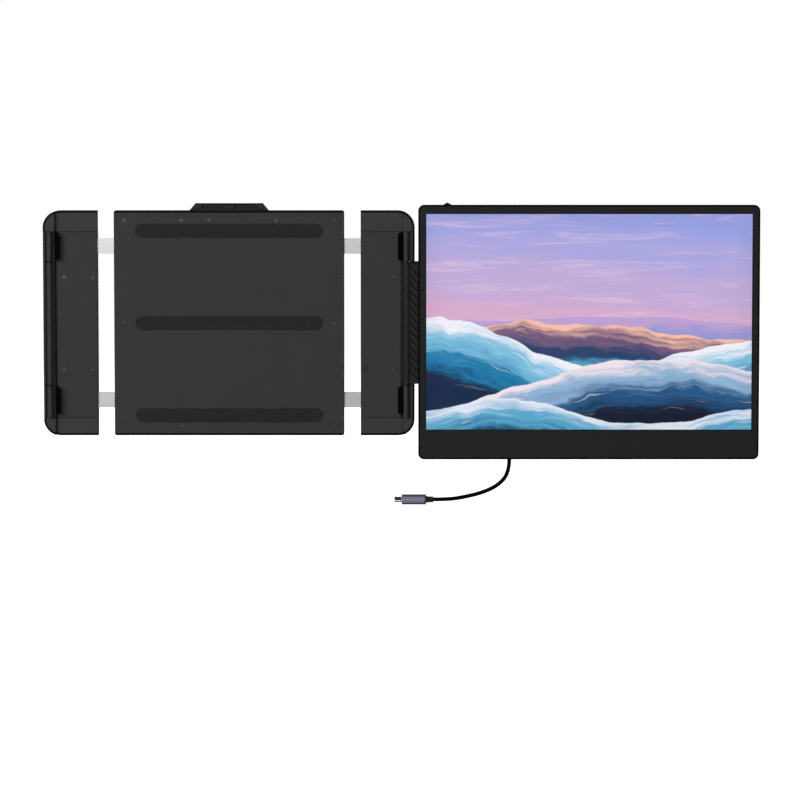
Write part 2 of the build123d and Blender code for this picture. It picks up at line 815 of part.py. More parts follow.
def plate_grooves(half):
    """Slanting grooves across the sloping web, cut square to its face."""
    flange_y = monitor_back + plate_thickness / 2
    knee_x = monitor_left + plate_knee
    run_x, run_y = knee_x - right_axis, flange_y - barrel_axis_y
    length = math.hypot(run_x, run_y)
    turn = math.degrees(math.atan2(run_y, run_x))
    face_plane = Plane(
        origin=(right_axis, barrel_axis_y, 0),
        x_dir=(run_x, run_y, 0),
        z_dir=(run_y, -run_x, 0),
    )
    start, end = barrel_r + 0.6, length - 2.0
    drop = math.tan(math.radians(plate_groove_slope)) * (end - start) * math.cos(math.radians(turn))
    depth = plate_thickness / 2
    rows = int((2 * half - drop - 6.0) / plate_groove_pitch)
    first = half - 3.0
    grooves = []
    for row in range(rows + 1):
        z = first - row * plate_groove_pitch
        outline = [
            (start, z),
            (end, z - drop),
            (end, z - drop - plate_groove_width),
            (start, z - plate_groove_width),
        ]
        cut = face_plane * Pos(0, 0, depth - plate_groove_depth) * make_face(
            Polyline(*outline, close=True)
        )
        grooves.append(extrude(cut, amount=plate_groove_depth + 1))
    return grooves


def make_plate_screws():
    """Screws through the flange and the monitor's back into the backing plate."""
    face = monitor_back + plate_thickness
    return [screw_y(x, z, face, plate_screw_length, back=True) for x, z in plate_screw_places()]


def make_backing_plate():
    """Steel plate inside the monitor's back that the flange's screws hold in."""
    x0 = monitor_left + monitor_wall + monitor_back_round
    x1 = monitor_left + plate_flange
    reach = barrel_half_length * 0.9
    body = block(x0, x1, shell_floor - backing_thickness, shell_floor, -reach, reach)
    for x, z in plate_screw_places():
        body -= screw_hole_y(x, z, monitor_back + plate_thickness, plate_screw_length, back=True)
    return body


# ---- monitor
def make_front_bezel():
    """Thin front frame with a deep chin, stepped behind to hold the panel."""
    body = rounded_panel(
        monitor_left, monitor_right, monitor_bottom, monitor_top, monitor_front, shell_front, monitor_corner
    )
    body = fillet(body.faces().sort_by(Axis.Y)[0].edges(), bezel_edge_round)
    body -= block(active_left, active_right, 0, shell_front + 1, active_bottom, active_top)
    seat = panel_margin + run_gap
    body -= block(
        active_left - seat,
        active_right + seat,
        panel_front,
        shell_front + 1,
        active_bottom - seat,
        active_top + seat,
    )
    return body


def make_lcd_panel():
    """Display panel behind the bezel's lip."""
    return block(
        active_left - panel_margin,
        active_right + panel_margin,
        panel_front,
        panel_front + panel_thickness,
        active_bottom - panel_margin,
        active_top + panel_margin,
    )


def make_light_guide():
    """Clear sheet that spreads the backlight."""
    low = active_bottom - panel_margin + led_strip_height + run_gap
    return block(
        active_left - panel_margin,
        active_right + panel_margin,
        guide_front,
        guide_front + guide_sheet,
        low,
        active_top + panel_margin,
    )


def make_led_strip():
    """Backlight strip along the light guide's lower edge."""
    low = active_bottom - panel_margin
    body = block(
        active_left - panel_margin,
        active_right + panel_margin,
        guide_front,
        guide_front + guide_sheet,
        low,
        low + led_strip_height,
    )
    pitch = (active_right - active_left) / led_count
    for number in range(led_count):
        x = active_left + (number + 0.5) * pitch
        body -= block(x - 2, x + 2, 0, guide_front + 0.6, low + 1.6, low + led_strip_height + 1)
    return body


def make_panel_tray():
    """Folded aluminium tray behind the light guide."""
    inside = panel_margin + run_gap
    x0, x1 = active_left - inside, active_right + inside
    z0, z1 = active_bottom - inside, active_top + inside
    side = tray_sheet
    body = block(x0 - side, x1 + side, guide_front, tray_back, z0 - side, z1 + side)
    return body - block(x0, x1, 0, tray_back - side, z0, z1)


def monitor_screw_places():
    """X and Z of the screws that hold the rear shell to the bezel."""
    in_x, in_z = 3.2, 3.2
    xs = (monitor_left + in_x, (monitor_left + monitor_right) / 2, monitor_right - in_x)
    return [(x, z) for x in xs for z in (monitor_bottom + in_z, monitor_top - in_z)]


def bulge_shape(inset):
    """The raised part on the monitor's back, shrunk by inset."""
    shape = rounded_panel(
        bulge_left + inset,
        bulge_right - inset,
        bulge_bottom + inset,
        bulge_top - inset,
        shell_floor - 0.5,
        bulge_back - inset,
        bulge_corner - inset,
    )
    if inset:
        return shape
    return fillet(shape.faces().sort_by(Axis.Y)[-1].edges(), bulge_round)


def make_rear_shell():
    """Monitor's rear shell, with the electronics bulge, sockets' mouths and speaker slots."""
    body = rounded_panel(
        monitor_left, monitor_right, monitor_bottom, monitor_top, shell_front, monitor_back, monitor_corner
    )
    body = fillet(body.faces().sort_by(Axis.Y)[-1].edges(), monitor_back_round)
    body += bulge_shape(0)
    body -= rounded_panel(
        monitor_left + monitor_wall,
        monitor_right - monitor_wall,
        monitor_bottom + monitor_wall,
        monitor_top - monitor_wall,
        shell_front - 1,
        shell_floor,
        monitor_corner - monitor_wall,
    )
    body -= bulge_shape(monitor_wall)
    for x, z in monitor_screw_places():
        body += rod_y(x, z, shell_boss_r, shell_front, shell_floor + 0.5)
        body -= screw_hole_y(x, z, monitor_back, shell_screw_length, back=True)
    for x, z in plate_screw_places():
        body -= screw_hole_y(x, z, monitor_back + plate_thickness, plate_screw_length, back=True)
    for x, z in board_post_places():
        body += rod_y(x, z, 2.2, board_back, bulge_back - monitor_wall + 0.3)
    for port in range(2):
        body -= usb_outline(port, 0.15, bulge_bottom - 1, bulge_bottom + monitor_wall + 1)
    body -= hdmi_outline(0.15, bulge_bottom - 1, bulge_bottom + monitor_wall + 1)
    for x0 in speaker_starts():
        for number in range(speaker_slots):
            x = x0 + 4 + number * speaker_slot_pitch
            y0 = shell_front + 1.6
            body -= block(x, x + 1.3, y0, y0 + 3.4, monitor_bottom - 1, monitor_bottom + monitor_wall + 1)
    x, half = rocker_x, rocker_width / 2 + 0.6
    y0, y1 = rocker_front - 0.4, rocker_back + 0.4
    return body - block(x - half, x + half, y0, y1, monitor_top - monitor_wall - 1, monitor_top + 1)


def make_shell_screws():
    """Small screws of the rear shell."""
    return [
        screw_y(x, z, monitor_back, shell_screw_length, back=True) for x, z in monitor_screw_places()
    ]


def board_post_places():
    """X and Z of the posts that carry the main board."""
    xs = (board_left + 5, board_right - 5)
    zs = (board_low + 16, board_high - 5)
    return [(x, z) for x in xs for z in zs]


def make_main_board():
    """Main board in the bulge, with its larger chips and the sockets' row."""
    front = board_back - board_thickness
    body = block(board_left, board_right, front, board_back, board_low, board_high)
    middle = (board_low + board_high) / 2
    chips = [(0.2, 14, 14), (0.5, 18, 18), (0.78, 10, 12)]
    for share, width, height in chips:
        x = board_left + share * (board_right - board_left)
        low, high = middle - height / 2, middle + height / 2
        body += block(x - width / 2, x + width / 2, front - 1.2, front, low, high)
    return body


def usb_outline(port, play, z0, z1):
    """Rounded bar of a USB-C socket's outside, grown by play."""
    x = usb_x + port * usb_pitch
    half_w, half_h = usb_width / 2 + play, usb_height / 2 + play
    bar = block(x - half_w, x + half_w, port_y - half_h, port_y + half_h, z0, z1)
    return fillet(bar.edges().filter_by(Axis.Z), half_h * 0.98)


def make_usb_sockets():
    """Two USB-C sockets: metal shells, each with its tongue."""
    sockets = []
    z0 = bulge_bottom + run_gap
    z1 = z0 + usb_depth
    for port in range(2):
        x = usb_x + port * usb_pitch
        shell = usb_outline(port, 0, z0, z1) - usb_outline(port, -0.25, z0 - 1, z1 - 0.5)
        tongue = block(x - 3.3, x + 3.3, port_y - 0.3, port_y + 0.3, z0 + 1.2, z1 - 0.4)
        sockets.append(shell + tongue)
    return sockets


def hdmi_outline(play, z0, z1):
    """Outline of the mini HDMI socket, narrower towards the back."""
    half_w, half_h = hdmi_width / 2 + play, hdmi_height / 2 + play
    face = make_face(
        Polyline(
            (hdmi_x - half_w, port_y - half_h),
            (hdmi_x + half_w, port_y - half_h),
            (hdmi_x + half_w, port_y + half_h * 0.2),
            (hdmi_x + half_w - 1.2, port_y + half_h),
            (hdmi_x - half_w + 1.2, port_y + half_h),
            (hdmi_x - half_w, port_y + half_h * 0.2),
            close=True,
        )
    )
    return plan_profile(face, z0, z1)


def make_hdmi_socket():
    """Mini HDMI socket with its tongue."""
    z0 = bulge_bottom + run_gap
    z1 = z0 + usb_depth
    shell = hdmi_outline(0, z0, z1) - hdmi_outline(-0.3, z0 - 1, z1 - 0.5)
    half = hdmi_width / 2 - 1.6
    return shell + block(hdmi_x - half, hdmi_x + half, port_y - 0.4, port_y + 0.3, z0 + 1, z1 - 0.4)


def speaker_starts():
    """Left edges of the two speakers."""
    return (monitor_left + speaker_inset, monitor_right - speaker_inset - speaker_length)


def make_speakers():
    """Two flat speakers behind the chin."""
    y0, y1 = shell_front + run_gap, shell_floor
    z0 = monitor_bottom + monitor_wall
    boxes = []
    for x0 in speaker_starts():
        box = rounded_panel(x0, x0 + speaker_length, z0, z0 + speaker_height, y0, y1, 2.0)
        ring = rod_y(x0 + speaker_length / 2, z0 + speaker_height / 2, 4.6, y0 - 1, y0 + 0.8)
        cone = rod_y(x0 + speaker_length / 2, z0 + speaker_height / 2, 2.0, y0 - 1, y0 + 1.4)
        boxes.append(box - ring - cone)
    return boxes


def make_rocker_switch():
    """Small three-way switch under the rocker."""
    x, half = rocker_x, rocker_width / 2
    top = rocker_pivot_z - rocker_clearance
    low = top - rocker_base_height
    base = block(x - half, x + half, rocker_front + 0.3, rocker_back - 0.3, low, top)
    return base - block(x - 0.9, x + 0.9, rocker_mid - 0.9, rocker_mid + 0.9, low, top + 1)


def make_rocker_stem():
    """Switch's stem with the cross pin that the rocker tilts on."""
    low = rocker_pivot_z - rocker_clearance - rocker_base_height + rocker_press + 0.2
    half = 0.8
    post = block(
        rocker_x - half, rocker_x + half, rocker_mid - half, rocker_mid + half, low, rocker_pivot_z
    )
    return post + rod_y(rocker_x, rocker_pivot_z, 0.8, rocker_front + 0.5, rocker_back - 0.5)


def make_rocker_cap():
    """Three-cornered rocker that shows above the monitor's top edge."""
    half, low = rocker_width / 2, rocker_pivot_z - 0.2
    shoulder, peak = monitor_top - 0.4, monitor_top + rocker_rise
    outline = [
        (rocker_x - half, low),
        (rocker_x - half, shoulder),
        (rocker_x, peak),
        (rocker_x + half, shoulder),
        (rocker_x + half, low),
    ]
    body = front_profile(outline, rocker_front, rocker_back)
    tops = body.edges().filter_by(Axis.Y).filter_by(lambda e: e.center().Z > shoulder - 0.1)
    body = fillet(tops, 0.5)
    body -= rod_y(rocker_x, rocker_pivot_z, 0.85, rocker_front - 1, rocker_back + 1)
    slot = 1.5
    return body - block(
        rocker_x - slot,
        rocker_x + slot,
        rocker_mid - slot,
        rocker_mid + slot,
        low - 1,
        rocker_pivot_z + 1.0,
    )


# ---- cord and its plugs
def plug_body():
    """USB-C plug along +Z from its mating face, wide in X, with its tip below."""
    half_w, half_t = plug_width / 2, plug_thickness / 2
    shell = block(-half_w, half_w, -half_t, half_t, 0, plug_length)
    shell = fillet(shell.edges().filter_by(Axis.Z), half_t * 0.55)
    shell = fillet(shell.faces().sort_by(Axis.Z)[-1].edges(), 0.5)
    shell = fillet(shell.faces().sort_by(Axis.Z)[0].edges(), 0.4)
    tip = block(
        -plug_tip_width / 2,
        plug_tip_width / 2,
        -plug_tip_height / 2,
        plug_tip_height / 2,
        -plug_tip_length,
        0.5,
    )
    tip = fillet(tip.edges().filter_by(Axis.Z), plug_tip_height * 0.48)
    mouth = block(-3.45, 3.45, -0.45, 0.45, -plug_tip_length - 1, -0.6)
    return shell + (tip - mouth)


def relief_body():
    """Ribbed strain relief along +Z, tapering to the cord."""
    body = Location((0, 0, relief_length / 2)) * Cone(relief_r, relief_r * 0.9, relief_length)
    for number in range(3):
        z = relief_length * (0.3 + 0.25 * number)
        ring = rod_z(0, 0, relief_r + 1, z - 0.35, z + 0.35) - rod_z(0, 0, relief_r - 0.6, z - 1, z + 1)
        body -= ring
    return body


def monitor_plug_place():
    """Plug in the monitor's first socket, pointing up."""
    return Plane(origin=(usb_x, port_y, plug_mouth_z), x_dir=(1, 0, 0), z_dir=(0, 0, -1))


def laptop_plug_place():
    """Free plug, pointing left, its flat side leaning with the laptop's base."""
    end = Vector(*cord_points[-1])
    lean = math.radians(plug_lean)
    return Plane(
        origin=(end.X - relief_length - plug_length, end.Y, end.Z),
        x_dir=(0, math.cos(lean), math.sin(lean)),
        z_dir=(1, 0, 0),
    )


def relief_place(plug_place):
    """Where a plug's strain relief starts."""
    return plug_place.offset(plug_length)


def cord_radii():
    """One arc radius for each inner point: 0.45 of the shorter run over tan of half the turn."""
    points = [Vector(*point) for point in cord_points]
    radii = []
    for before, here, after in zip(points, points[1:], points[2:]):
        first, second = here - before, after - here
        turn = math.radians(first.get_angle(second))
        radii.append(0.45 * min(first.length, second.length) / math.tan(turn / 2))
    return radii


def make_cord():
    """Round cord along straight runs joined by arcs."""
    radii = cord_radii()
    path = FilletPolyline(*cord_points, radius=radii)
    print("cord radii", [round(radius, 1) for radius in radii], "length", round(path.length, 1))
    start = Plane(origin=cord_points[0], z_dir=path % 0)
    tube = sweep(start * Circle(cord_r), path=path)
    share = tube.volume / (math.pi * cord_r**2 * path.length)
    print("cord volume over section times length", round(share, 4))
    return tube


# ---- everything
def arm_nodes(side):
    """All pieces of one arm, by name."""
    right = side == "right"
    axis_x = right_axis if right else left_axis
    groove = barrel_groove_right if right else barrel_groove_left
    pieces = {
        "frame": [make_arm_frame(axis_x, groove, blank=not right)],
        "cover": [make_arm_cover()],
        "top_cap": [make_cap(axis_x, top=True)],
        "bottom_cap": [make_cap(axis_x, top=False)],
        "rails": make_rails(),
        "hinge_pin": [make_hinge_pin(axis_x)],
        "screws": make_arm_screws(),
        "hook_springs": make_hook_springs(),
        "upper_hook": [make_hook(1)],
        "upper_hook_pad": [make_hook_pad(1)],
        "lower_hook": [make_hook(-1)],
        "lower_hook_pad": [make_hook_pad(-1)],
        "hinge_washers": make_hinge_washers(axis_x),
    }
    if right:
        return {f"right_{name}": shapes for name, shapes in pieces.items()}
    pieces["blank_barrel"] = [make_blank_barrel(axis_x)]
    del pieces["hinge_washers"]
    return {f"left_{name}": [mirror_x(shape) for shape in shapes] for name, shapes in pieces.items()}


def all_nodes():
    """Every sub-part, by name, as a list of solids."""
    monitor_plug, laptop_plug = monitor_plug_place(), laptop_plug_place()
    nodes = {
        "front_cover": [make_front_cover()],
        "rear_housing": [make_rear_housing()],
        "lid_pads": make_lid_pads(),
        "guide_blocks": make_guide_blocks(),
        "brake_springs": make_brake_springs(),
        "housing_screws": make_housing_screws(),
        "stand_bracket": [make_stand_bracket()],
        "stand_hinge_pin": [make_stand_pin()],
        "stand_leaf": [make_stand_leaf()],
        "stand_slider": [make_stand_slider()],
        "stand_foot_pad": [make_stand_pad()],
        "hinge_plate": [make_hinge_plate()],
        "plate_screws": make_plate_screws(),
        "backing_plate": [make_backing_plate()],
        "front_bezel": [make_front_bezel()],
        "lcd_panel": [make_lcd_panel()],
        "light_guide": [make_light_guide()],
        "led_strip": [make_led_strip()],
        "panel_tray": [make_panel_tray()],
        "rear_shell": [make_rear_shell()],
        "shell_screws": make_shell_screws(),
        "main_board": [make_main_board()],
        "usb_sockets": make_usb_sockets(),
        "hdmi_socket": [make_hdmi_socket()],
        "speakers": make_speakers(),
        "rocker_switch": [make_rocker_switch()],
        "rocker_stem": [make_rocker_stem()],
        "rocker_cap": [make_rocker_cap()],
        "cord": [make_cord()],
        "monitor_plug": [monitor_plug.location * plug_body()],
        "monitor_relief": [relief_place(monitor_plug).location * relief_body()],
        "laptop_plug": [laptop_plug.location * plug_body()],
        "laptop_relief": [relief_place(laptop_plug).location * relief_body()],
    }
    for side in ("left", "right"):
        nodes.update(arm_nodes(side))
    return nodes


def main():
    """Write one file for each sub-part."""
    os.makedirs("parts", exist_ok=True)
    for name, shapes in all_nodes().items():
        solids = [solid for shape in shapes for solid in shape.solids()]
        export_step(Compound(solids) if len(solids) > 1 else solids[0], f"parts/{name}.step")


main()
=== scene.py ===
"""Looks of a laptop screen extender: a sliding lid frame with a hinged monitor, a kickstand and a cord.

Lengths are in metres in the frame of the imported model: X points right, Y points back and Z points up.
The origin is the centre of the face that the laptop's lid rests on.
"""

import logging
import math
from collections.abc import Callable
from dataclasses import dataclass
from enum import Enum

import bmesh
import bpy
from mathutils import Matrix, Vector


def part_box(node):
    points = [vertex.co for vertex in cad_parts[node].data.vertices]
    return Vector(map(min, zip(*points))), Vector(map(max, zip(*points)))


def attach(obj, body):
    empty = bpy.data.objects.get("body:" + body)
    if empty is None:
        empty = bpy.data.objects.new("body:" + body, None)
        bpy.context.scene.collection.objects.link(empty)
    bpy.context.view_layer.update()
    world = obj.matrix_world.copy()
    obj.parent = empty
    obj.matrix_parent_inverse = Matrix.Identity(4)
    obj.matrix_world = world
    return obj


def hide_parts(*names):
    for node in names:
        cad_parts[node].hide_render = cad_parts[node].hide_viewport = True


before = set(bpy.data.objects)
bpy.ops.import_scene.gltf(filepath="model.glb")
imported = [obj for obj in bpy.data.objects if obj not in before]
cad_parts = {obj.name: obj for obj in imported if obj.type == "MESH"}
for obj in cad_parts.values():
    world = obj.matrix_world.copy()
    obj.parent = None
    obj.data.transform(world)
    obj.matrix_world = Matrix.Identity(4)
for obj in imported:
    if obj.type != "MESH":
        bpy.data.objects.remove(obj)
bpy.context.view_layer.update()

Colour = tuple[float, float, float]
Point = tuple[float, float, float]
Pair = tuple[float, float]
Stops = tuple[tuple[float, Colour], ...]
Socket = bpy.types.NodeSocket

LOG = logging.getLogger("screen_extender")
MM = 0.001
FOLD_ANGLE = math.radians(35)
SAME_POINT = 0.004 * MM
LEAST_HALF_WIDTH = 0.02 * MM
WHITE = (1.0, 1.0, 1.0)


def screen_colour(red: float, green: float, blue: float) -> Colour:
    """Turns an 8-bit screen colour into a linear one.

    Args:
        red: Red from 0 to 255.
        green: Green from 0 to 255.
        blue: Blue from 0 to 255.

    Returns:
        The linear red, green and blue from 0 to 1.
    """

    def linear(channel: float) -> float:
        """One channel, undone from the screen's curve."""
        share = channel / 255
        return share / 12.92 if share <= 0.04045 else ((share + 0.055) / 1.055) ** 2.4

    return (linear(red), linear(green), linear(blue))


def grey(level: float) -> Colour:
    """Linear colour of a neutral 8-bit grey."""
    return screen_colour(level, level, level)


def palette(*levels: tuple[int, int, int]) -> tuple[Colour, ...]:
    """Linear colours of several 8-bit ones."""
    return tuple(screen_colour(*level) for level in levels)


def add_object(name: str, data: bpy.types.ID) -> bpy.types.Object:
    """Puts a mesh, curve, light or camera into the scene.

    Args:
        name: The object's name.
        data: What it shows.

    Returns:
        The new object.
    """
    made = bpy.data.objects.new(name, data)
    bpy.context.scene.collection.objects.link(made)
    return made


# ------------ shader graph


def operator(operation: str, swapped: bool = False) -> Callable[..., "Field"]:
    """Makes one of Field's arithmetic methods.

    Args:
        operation: The Math node's operation, such as ADD.
        swapped: Whether the field stands to the right of the sign.

    Returns:
        The method, which takes no other number or one, and gives the node's result.
    """

    def method(self: "Field", *others: "Number") -> "Field":
        """Adds the Math node.

        Args:
            *others: The other number, if the operation takes one.

        Returns:
            The node's result.
        """
        operands = (*others, self) if swapped else (self, *others)
        node = self.graph.add("ShaderNodeMath", {"operation": operation}, dict(enumerate(operands)))
        return Field(self.graph, node.outputs[0])

    return method


class Field:
    """A number that varies over a surface. Arithmetic on it adds Math nodes.

    over gives 1 above a level and 0 below it; at_least and at_most hold the field on one side of a level.
    """

    __add__ = operator("ADD")
    __radd__ = operator("ADD", swapped=True)
    __sub__ = operator("SUBTRACT")
    __rsub__ = operator("SUBTRACT", swapped=True)
    __mul__ = operator("MULTIPLY")
    __rmul__ = operator("MULTIPLY", swapped=True)
    __truediv__ = operator("DIVIDE")
    __rtruediv__ = operator("DIVIDE", swapped=True)
    __abs__ = operator("ABSOLUTE")
    sine = operator("SINE")
    root = operator("SQRT")
    fraction = operator("FRACT")
    over = operator("GREATER_THAN")
    at_least = operator("MAXIMUM")
    at_most = operator("MINIMUM")

    def __init__(self, graph: "Graph", socket: Socket) -> None:
        """Wraps an output socket of a graph."""
        self.graph = graph
        self.socket = socket

    def hypot(self, other: "Field") -> "Field":
        """Length of a line that goes as far as the two fields along two axes."""
        return (self * self + other * other).root()

    def rise(self, low: float, high: float, start: float = 0.0, end: float = 1.0) -> "Field":
        """Turns smoothly from start to end as the field goes from low to high.

        Args:
            low: The field where the turn starts.
            high: The field where it ends.
            start: The result at and before low.
            end: The result at and after high.

        Returns:
            The smooth step.
        """
        node = self.graph.add(
            "ShaderNodeMapRange",
            {"interpolation_type": "SMOOTHSTEP"},
            {"Value": self, "From Min": low, "From Max": high, "To Min": start, "To Max": end},
        )
        return Field(self.graph, node.outputs["Result"])


Number = Field | float | int
Paint = Socket | Colour


class Graph:
    """The node tree of a material or a world."""

    def __init__(self, tree: bpy.types.NodeTree) -> None:
        """Takes over a tree and empties it."""
        self.tree = tree
        self.tree.nodes.clear()

    def add(self, kind: str, settings: dict | None = None, sockets: dict | None = None) -> bpy.types.Node:
        """Adds a node, sets it up, then feeds its sockets.

        Args:
            kind: The node's type.
            settings: Its own settings by name; "stops" holds a ramp's places and colours.
            sockets: A value, Field or output socket for each input, by name or index.

        Returns:
            The new node.
        """
        node = self.tree.nodes.new(kind)
        for name, value in (settings or {}).items():
            if name == "stops":
                self._set_stops(node.color_ramp, value)
            else:
                setattr(node, name, value)
        for name, value in (sockets or {}).items():
            target = node.inputs[name]
            if isinstance(value, Field):
                self.tree.links.new(value.socket, target)
            elif isinstance(value, Socket):
                self.tree.links.new(value, target)
            elif target.type == "RGBA":
                target.default_value = (*value, 1.0)
            else:
                target.default_value = value
        return node

    @staticmethod
    def _set_stops(ramp: bpy.types.ColorRamp, stops: Stops) -> None:
        """Gives a ramp its stops.

        Args:
            ramp: The ramp, which has two stops when it is new.
            stops: Places from 0 to 1 with their colours, in order.
        """
        ramp.interpolation = "EASE"
        while len(ramp.elements) < len(stops):
            ramp.elements.new(0.5)
        for element, (place, colour) in zip(ramp.elements, stops):
            element.position = place
            element.color = (*colour, 1.0)

    def place(self) -> Socket:
        """Where the shaded point is in the object's own space."""
        return self.add("ShaderNodeTexCoord").outputs["Object"]

    def axes(self) -> tuple[Field, Field, Field]:
        """The shaded point's X, Y and Z."""
        parts = self.add("ShaderNodeSeparateXYZ", {}, {"Vector": self.place()})
        return tuple(Field(self, socket) for socket in parts.outputs)

    def vector(self, x: Number, y: Number, z: Number) -> Socket:
        """A vector from three numbers or fields."""
        return self.add("ShaderNodeCombineXYZ", {}, {"X": x, "Y": y, "Z": z}).outputs["Vector"]

    def noise(
        self,
        per_metre: float | Point,
        detail: float = 2.0,
        roughness: float = 0.5,
        distortion: float = 0.0,
        source: Socket | None = None,
        seed: float = 0.0,
    ) -> Field:
        """Soft random values from 0 to 1.

        Args:
            per_metre: Blotches in each metre, the same in all directions or one number for each axis.
            detail: How many finer layers are added.
            roughness: How strong those layers are.
            distortion: How far the pattern is warped.
            source: The vector it follows, or the surface's place.
            seed: Moves the pattern, so that two of them differ.

        Returns:
            The random field.
        """
        scale = per_metre if isinstance(per_metre, tuple) else (per_metre,) * 3
        stretched = self.add(
            "ShaderNodeVectorMath",
            {"operation": "MULTIPLY_ADD"},
            {0: source or self.place(), 1: scale, 2: (seed, seed * 1.7, seed * 2.3)},
        )
        node = self.add(
            "ShaderNodeTexNoise",
            {},
            {
                "Vector": stretched.outputs[0],
                "Scale": 1.0,
                "Detail": detail,
                "Roughness": roughness,
                "Distortion": distortion,
            },
        )
        return Field(self, node.outputs[0])

    def cells(self, per_metre: float, seed: float = 0.0) -> Field:
        """Distance from the middle of random cells, from 0.

        Args:
            per_metre: Cells in each metre.
            seed: Moves the cells, so that two patterns differ.

        Returns:
            The distance, in cells.
        """
        moved = self.add(
            "ShaderNodeVectorMath", {"operation": "ADD"}, {0: self.place(), 1: (seed, seed, seed)}
        )
        node = self.add("ShaderNodeTexVoronoi", {}, {"Vector": moved.outputs[0], "Scale": per_metre})
        return Field(self, node.outputs["Distance"])

    def mix(self, share: Number, first: Paint, second: Paint) -> Socket:
        """Blends two colours.

        Args:
            share: 0 for all of the first, 1 for all of the second.
            first: A colour or a colour socket.
            second: A colour or a colour socket.

        Returns:
            The blended colour.
        """
        node = self.add("ShaderNodeMix", {"data_type": "RGBA"}, {0: share, 6: first, 7: second})
        return node.outputs[2]

    def scaled(self, colour: Paint, share: Number) -> Socket:
        """A colour made lighter or darker.

        Args:
            colour: A colour or a colour socket.
            share: What it is multiplied by.

        Returns:
            The new colour.
        """
        node = self.add(
            "ShaderNodeMix",
            {"data_type": "RGBA", "blend_type": "MULTIPLY", "clamp_factor": True},
            {0: 1.0, 6: colour, 7: self.vector(share, share, share)},
        )
        return node.outputs[2]

    def ramp(self, along: Field, stops: Stops) -> Socket:
        """Colours laid along a field."""
        return self.add("ShaderNodeValToRGB", {"stops": stops}, {"Fac": along}).outputs["Color"]

    def soft_edges(self, radius: float) -> Socket:
        """The normal with the solid's sharp edges rounded by a radius."""
        return self.add("ShaderNodeBevel", {"samples": 3}, {"Radius": radius}).outputs["Normal"]

    def edge_share(self, soft: Socket, low: float = 0.004, high: float = 0.2) -> Field:
        """How near an edge is, from 0 on a flat to 1.

        Args:
            soft: The normal from soft_edges.
            low: How far it has turned, as 1 minus its cosine, where the share starts.
            high: How far it has turned where the share is 1.

        Returns:
            The nearness.
        """
        flat = self.add("ShaderNodeNewGeometry").outputs["Normal"]
        dot = self.add("ShaderNodeVectorMath", {"operation": "DOT_PRODUCT"}, {0: soft, 1: flat})
        return (1.0 - Field(self, dot.outputs["Value"])).rise(low, high)

    def with_edge_shade(self, tone: Field, band: float, shade: float, rim: "Rim | None") -> Field:
        """A tone darkened by painted shade in a soft band along every edge, and on its group's outline.

        Args:
            tone: How much colour there is on a flat.
            band: How far the band reaches from an edge.
            shade: How much it takes off on the edge itself.
            rim: The group's outline, if the piece has a part in it.

        Returns:
            The tone with the painted shade.
        """
        # Painted shade: the colour is darkened in a band along every sharp edge.
        near = self.edge_share(self.soft_edges(band), 0.002, 0.07)
        tone = tone * (1.0 - near * shade)
        return tone * rim.share(self) if rim else tone

    def bump(self, height: Field, depth: float, normal: Socket) -> Socket:
        """Raises the surface by a height field.

        Args:
            height: Height from 0 to 1.
            depth: How many metres 1 stands for.
            normal: The normal it starts from.

        Returns:
            The bumped normal.
        """
        sockets = {"Strength": 1.0, "Distance": depth, "Height": height, "Normal": normal}
        return self.add("ShaderNodeBump", {}, sockets).outputs["Normal"]


# ------------ finishes


class Grain(Enum):
    """Which way a brushed metal's lines run."""

    ALONG_X = (26.0, 2600.0, 2600.0)
    ALONG_Z = (2600.0, 2600.0, 26.0)
    BLASTED = (1500.0, 1500.0, 1500.0)


@dataclass(frozen=True)
class Finish:
    """What every finish has: a name, and a shader built from its look."""

    label: str

    def look(self, graph: Graph) -> dict:
        """What sets this finish apart; each finish draws its own.

        Args:
            graph: The material's graph.

        Returns:
            Values and links for the shader's sockets, by name.
        """
        raise NotImplementedError

    def material(self) -> bpy.types.Material:
        """Builds the material, or gives the one that was built before.

        Returns:
            The material, named by the label.
        """
        made = bpy.data.materials.get(self.label)
        if made is None:
            made = bpy.data.materials.new(self.label)
            made.use_nodes = True
            graph = Graph(made.node_tree)
            shader = graph.add("ShaderNodeBsdfPrincipled", {}, self.look(graph))
            graph.add("ShaderNodeOutputMaterial", {}, {"Surface": shader.outputs[0]})
        return made


@dataclass(frozen=True)
class Rim:
    """The rounded outline of a group of nodes, with painted shade in a band just inside it.

    The band takes its strength off the colour in front of the plane y = behind, and the rest share of
    that strength at the back. The solid share of its width is full, and from there it fades out.
    """

    nodes: tuple[str, ...]
    corner: float
    width: float
    behind: float = 1.0
    strength: float = 0.95
    rest: float = 0.6
    fade: float = 1.0 * MM
    solid: float = 0.65

    def share(self, graph: Graph) -> Field:
        """How much colour the painted outline shade leaves.

        Args:
            graph: The graph of a material in the group.

        Returns:
            Little on the outline, and 1 inside the band.
        """
        boxes = [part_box(name) for name in self.nodes]
        low = [min(box[0][axis] for box in boxes) for axis in range(3)]
        high = [max(box[1][axis] for box in boxes) for axis in range(3)]
        x, y, z = graph.axes()
        past = []
        for place, axis in ((x, 0), (z, 2)):
            middle, half = (low[axis] + high[axis]) / 2, (high[axis] - low[axis]) / 2
            past.append((abs(place - middle) - (half - self.corner)).at_least(0.0))
        inside = self.corner - past[0].hypot(past[1])
        # Painted shade: the band darkens the colour just inside the outline.
        band = inside.rise(self.width * self.solid, self.width, self.strength, 0.0)
        return 1.0 - band * y.rise(self.behind, self.behind + self.fade, 1.0, self.rest)


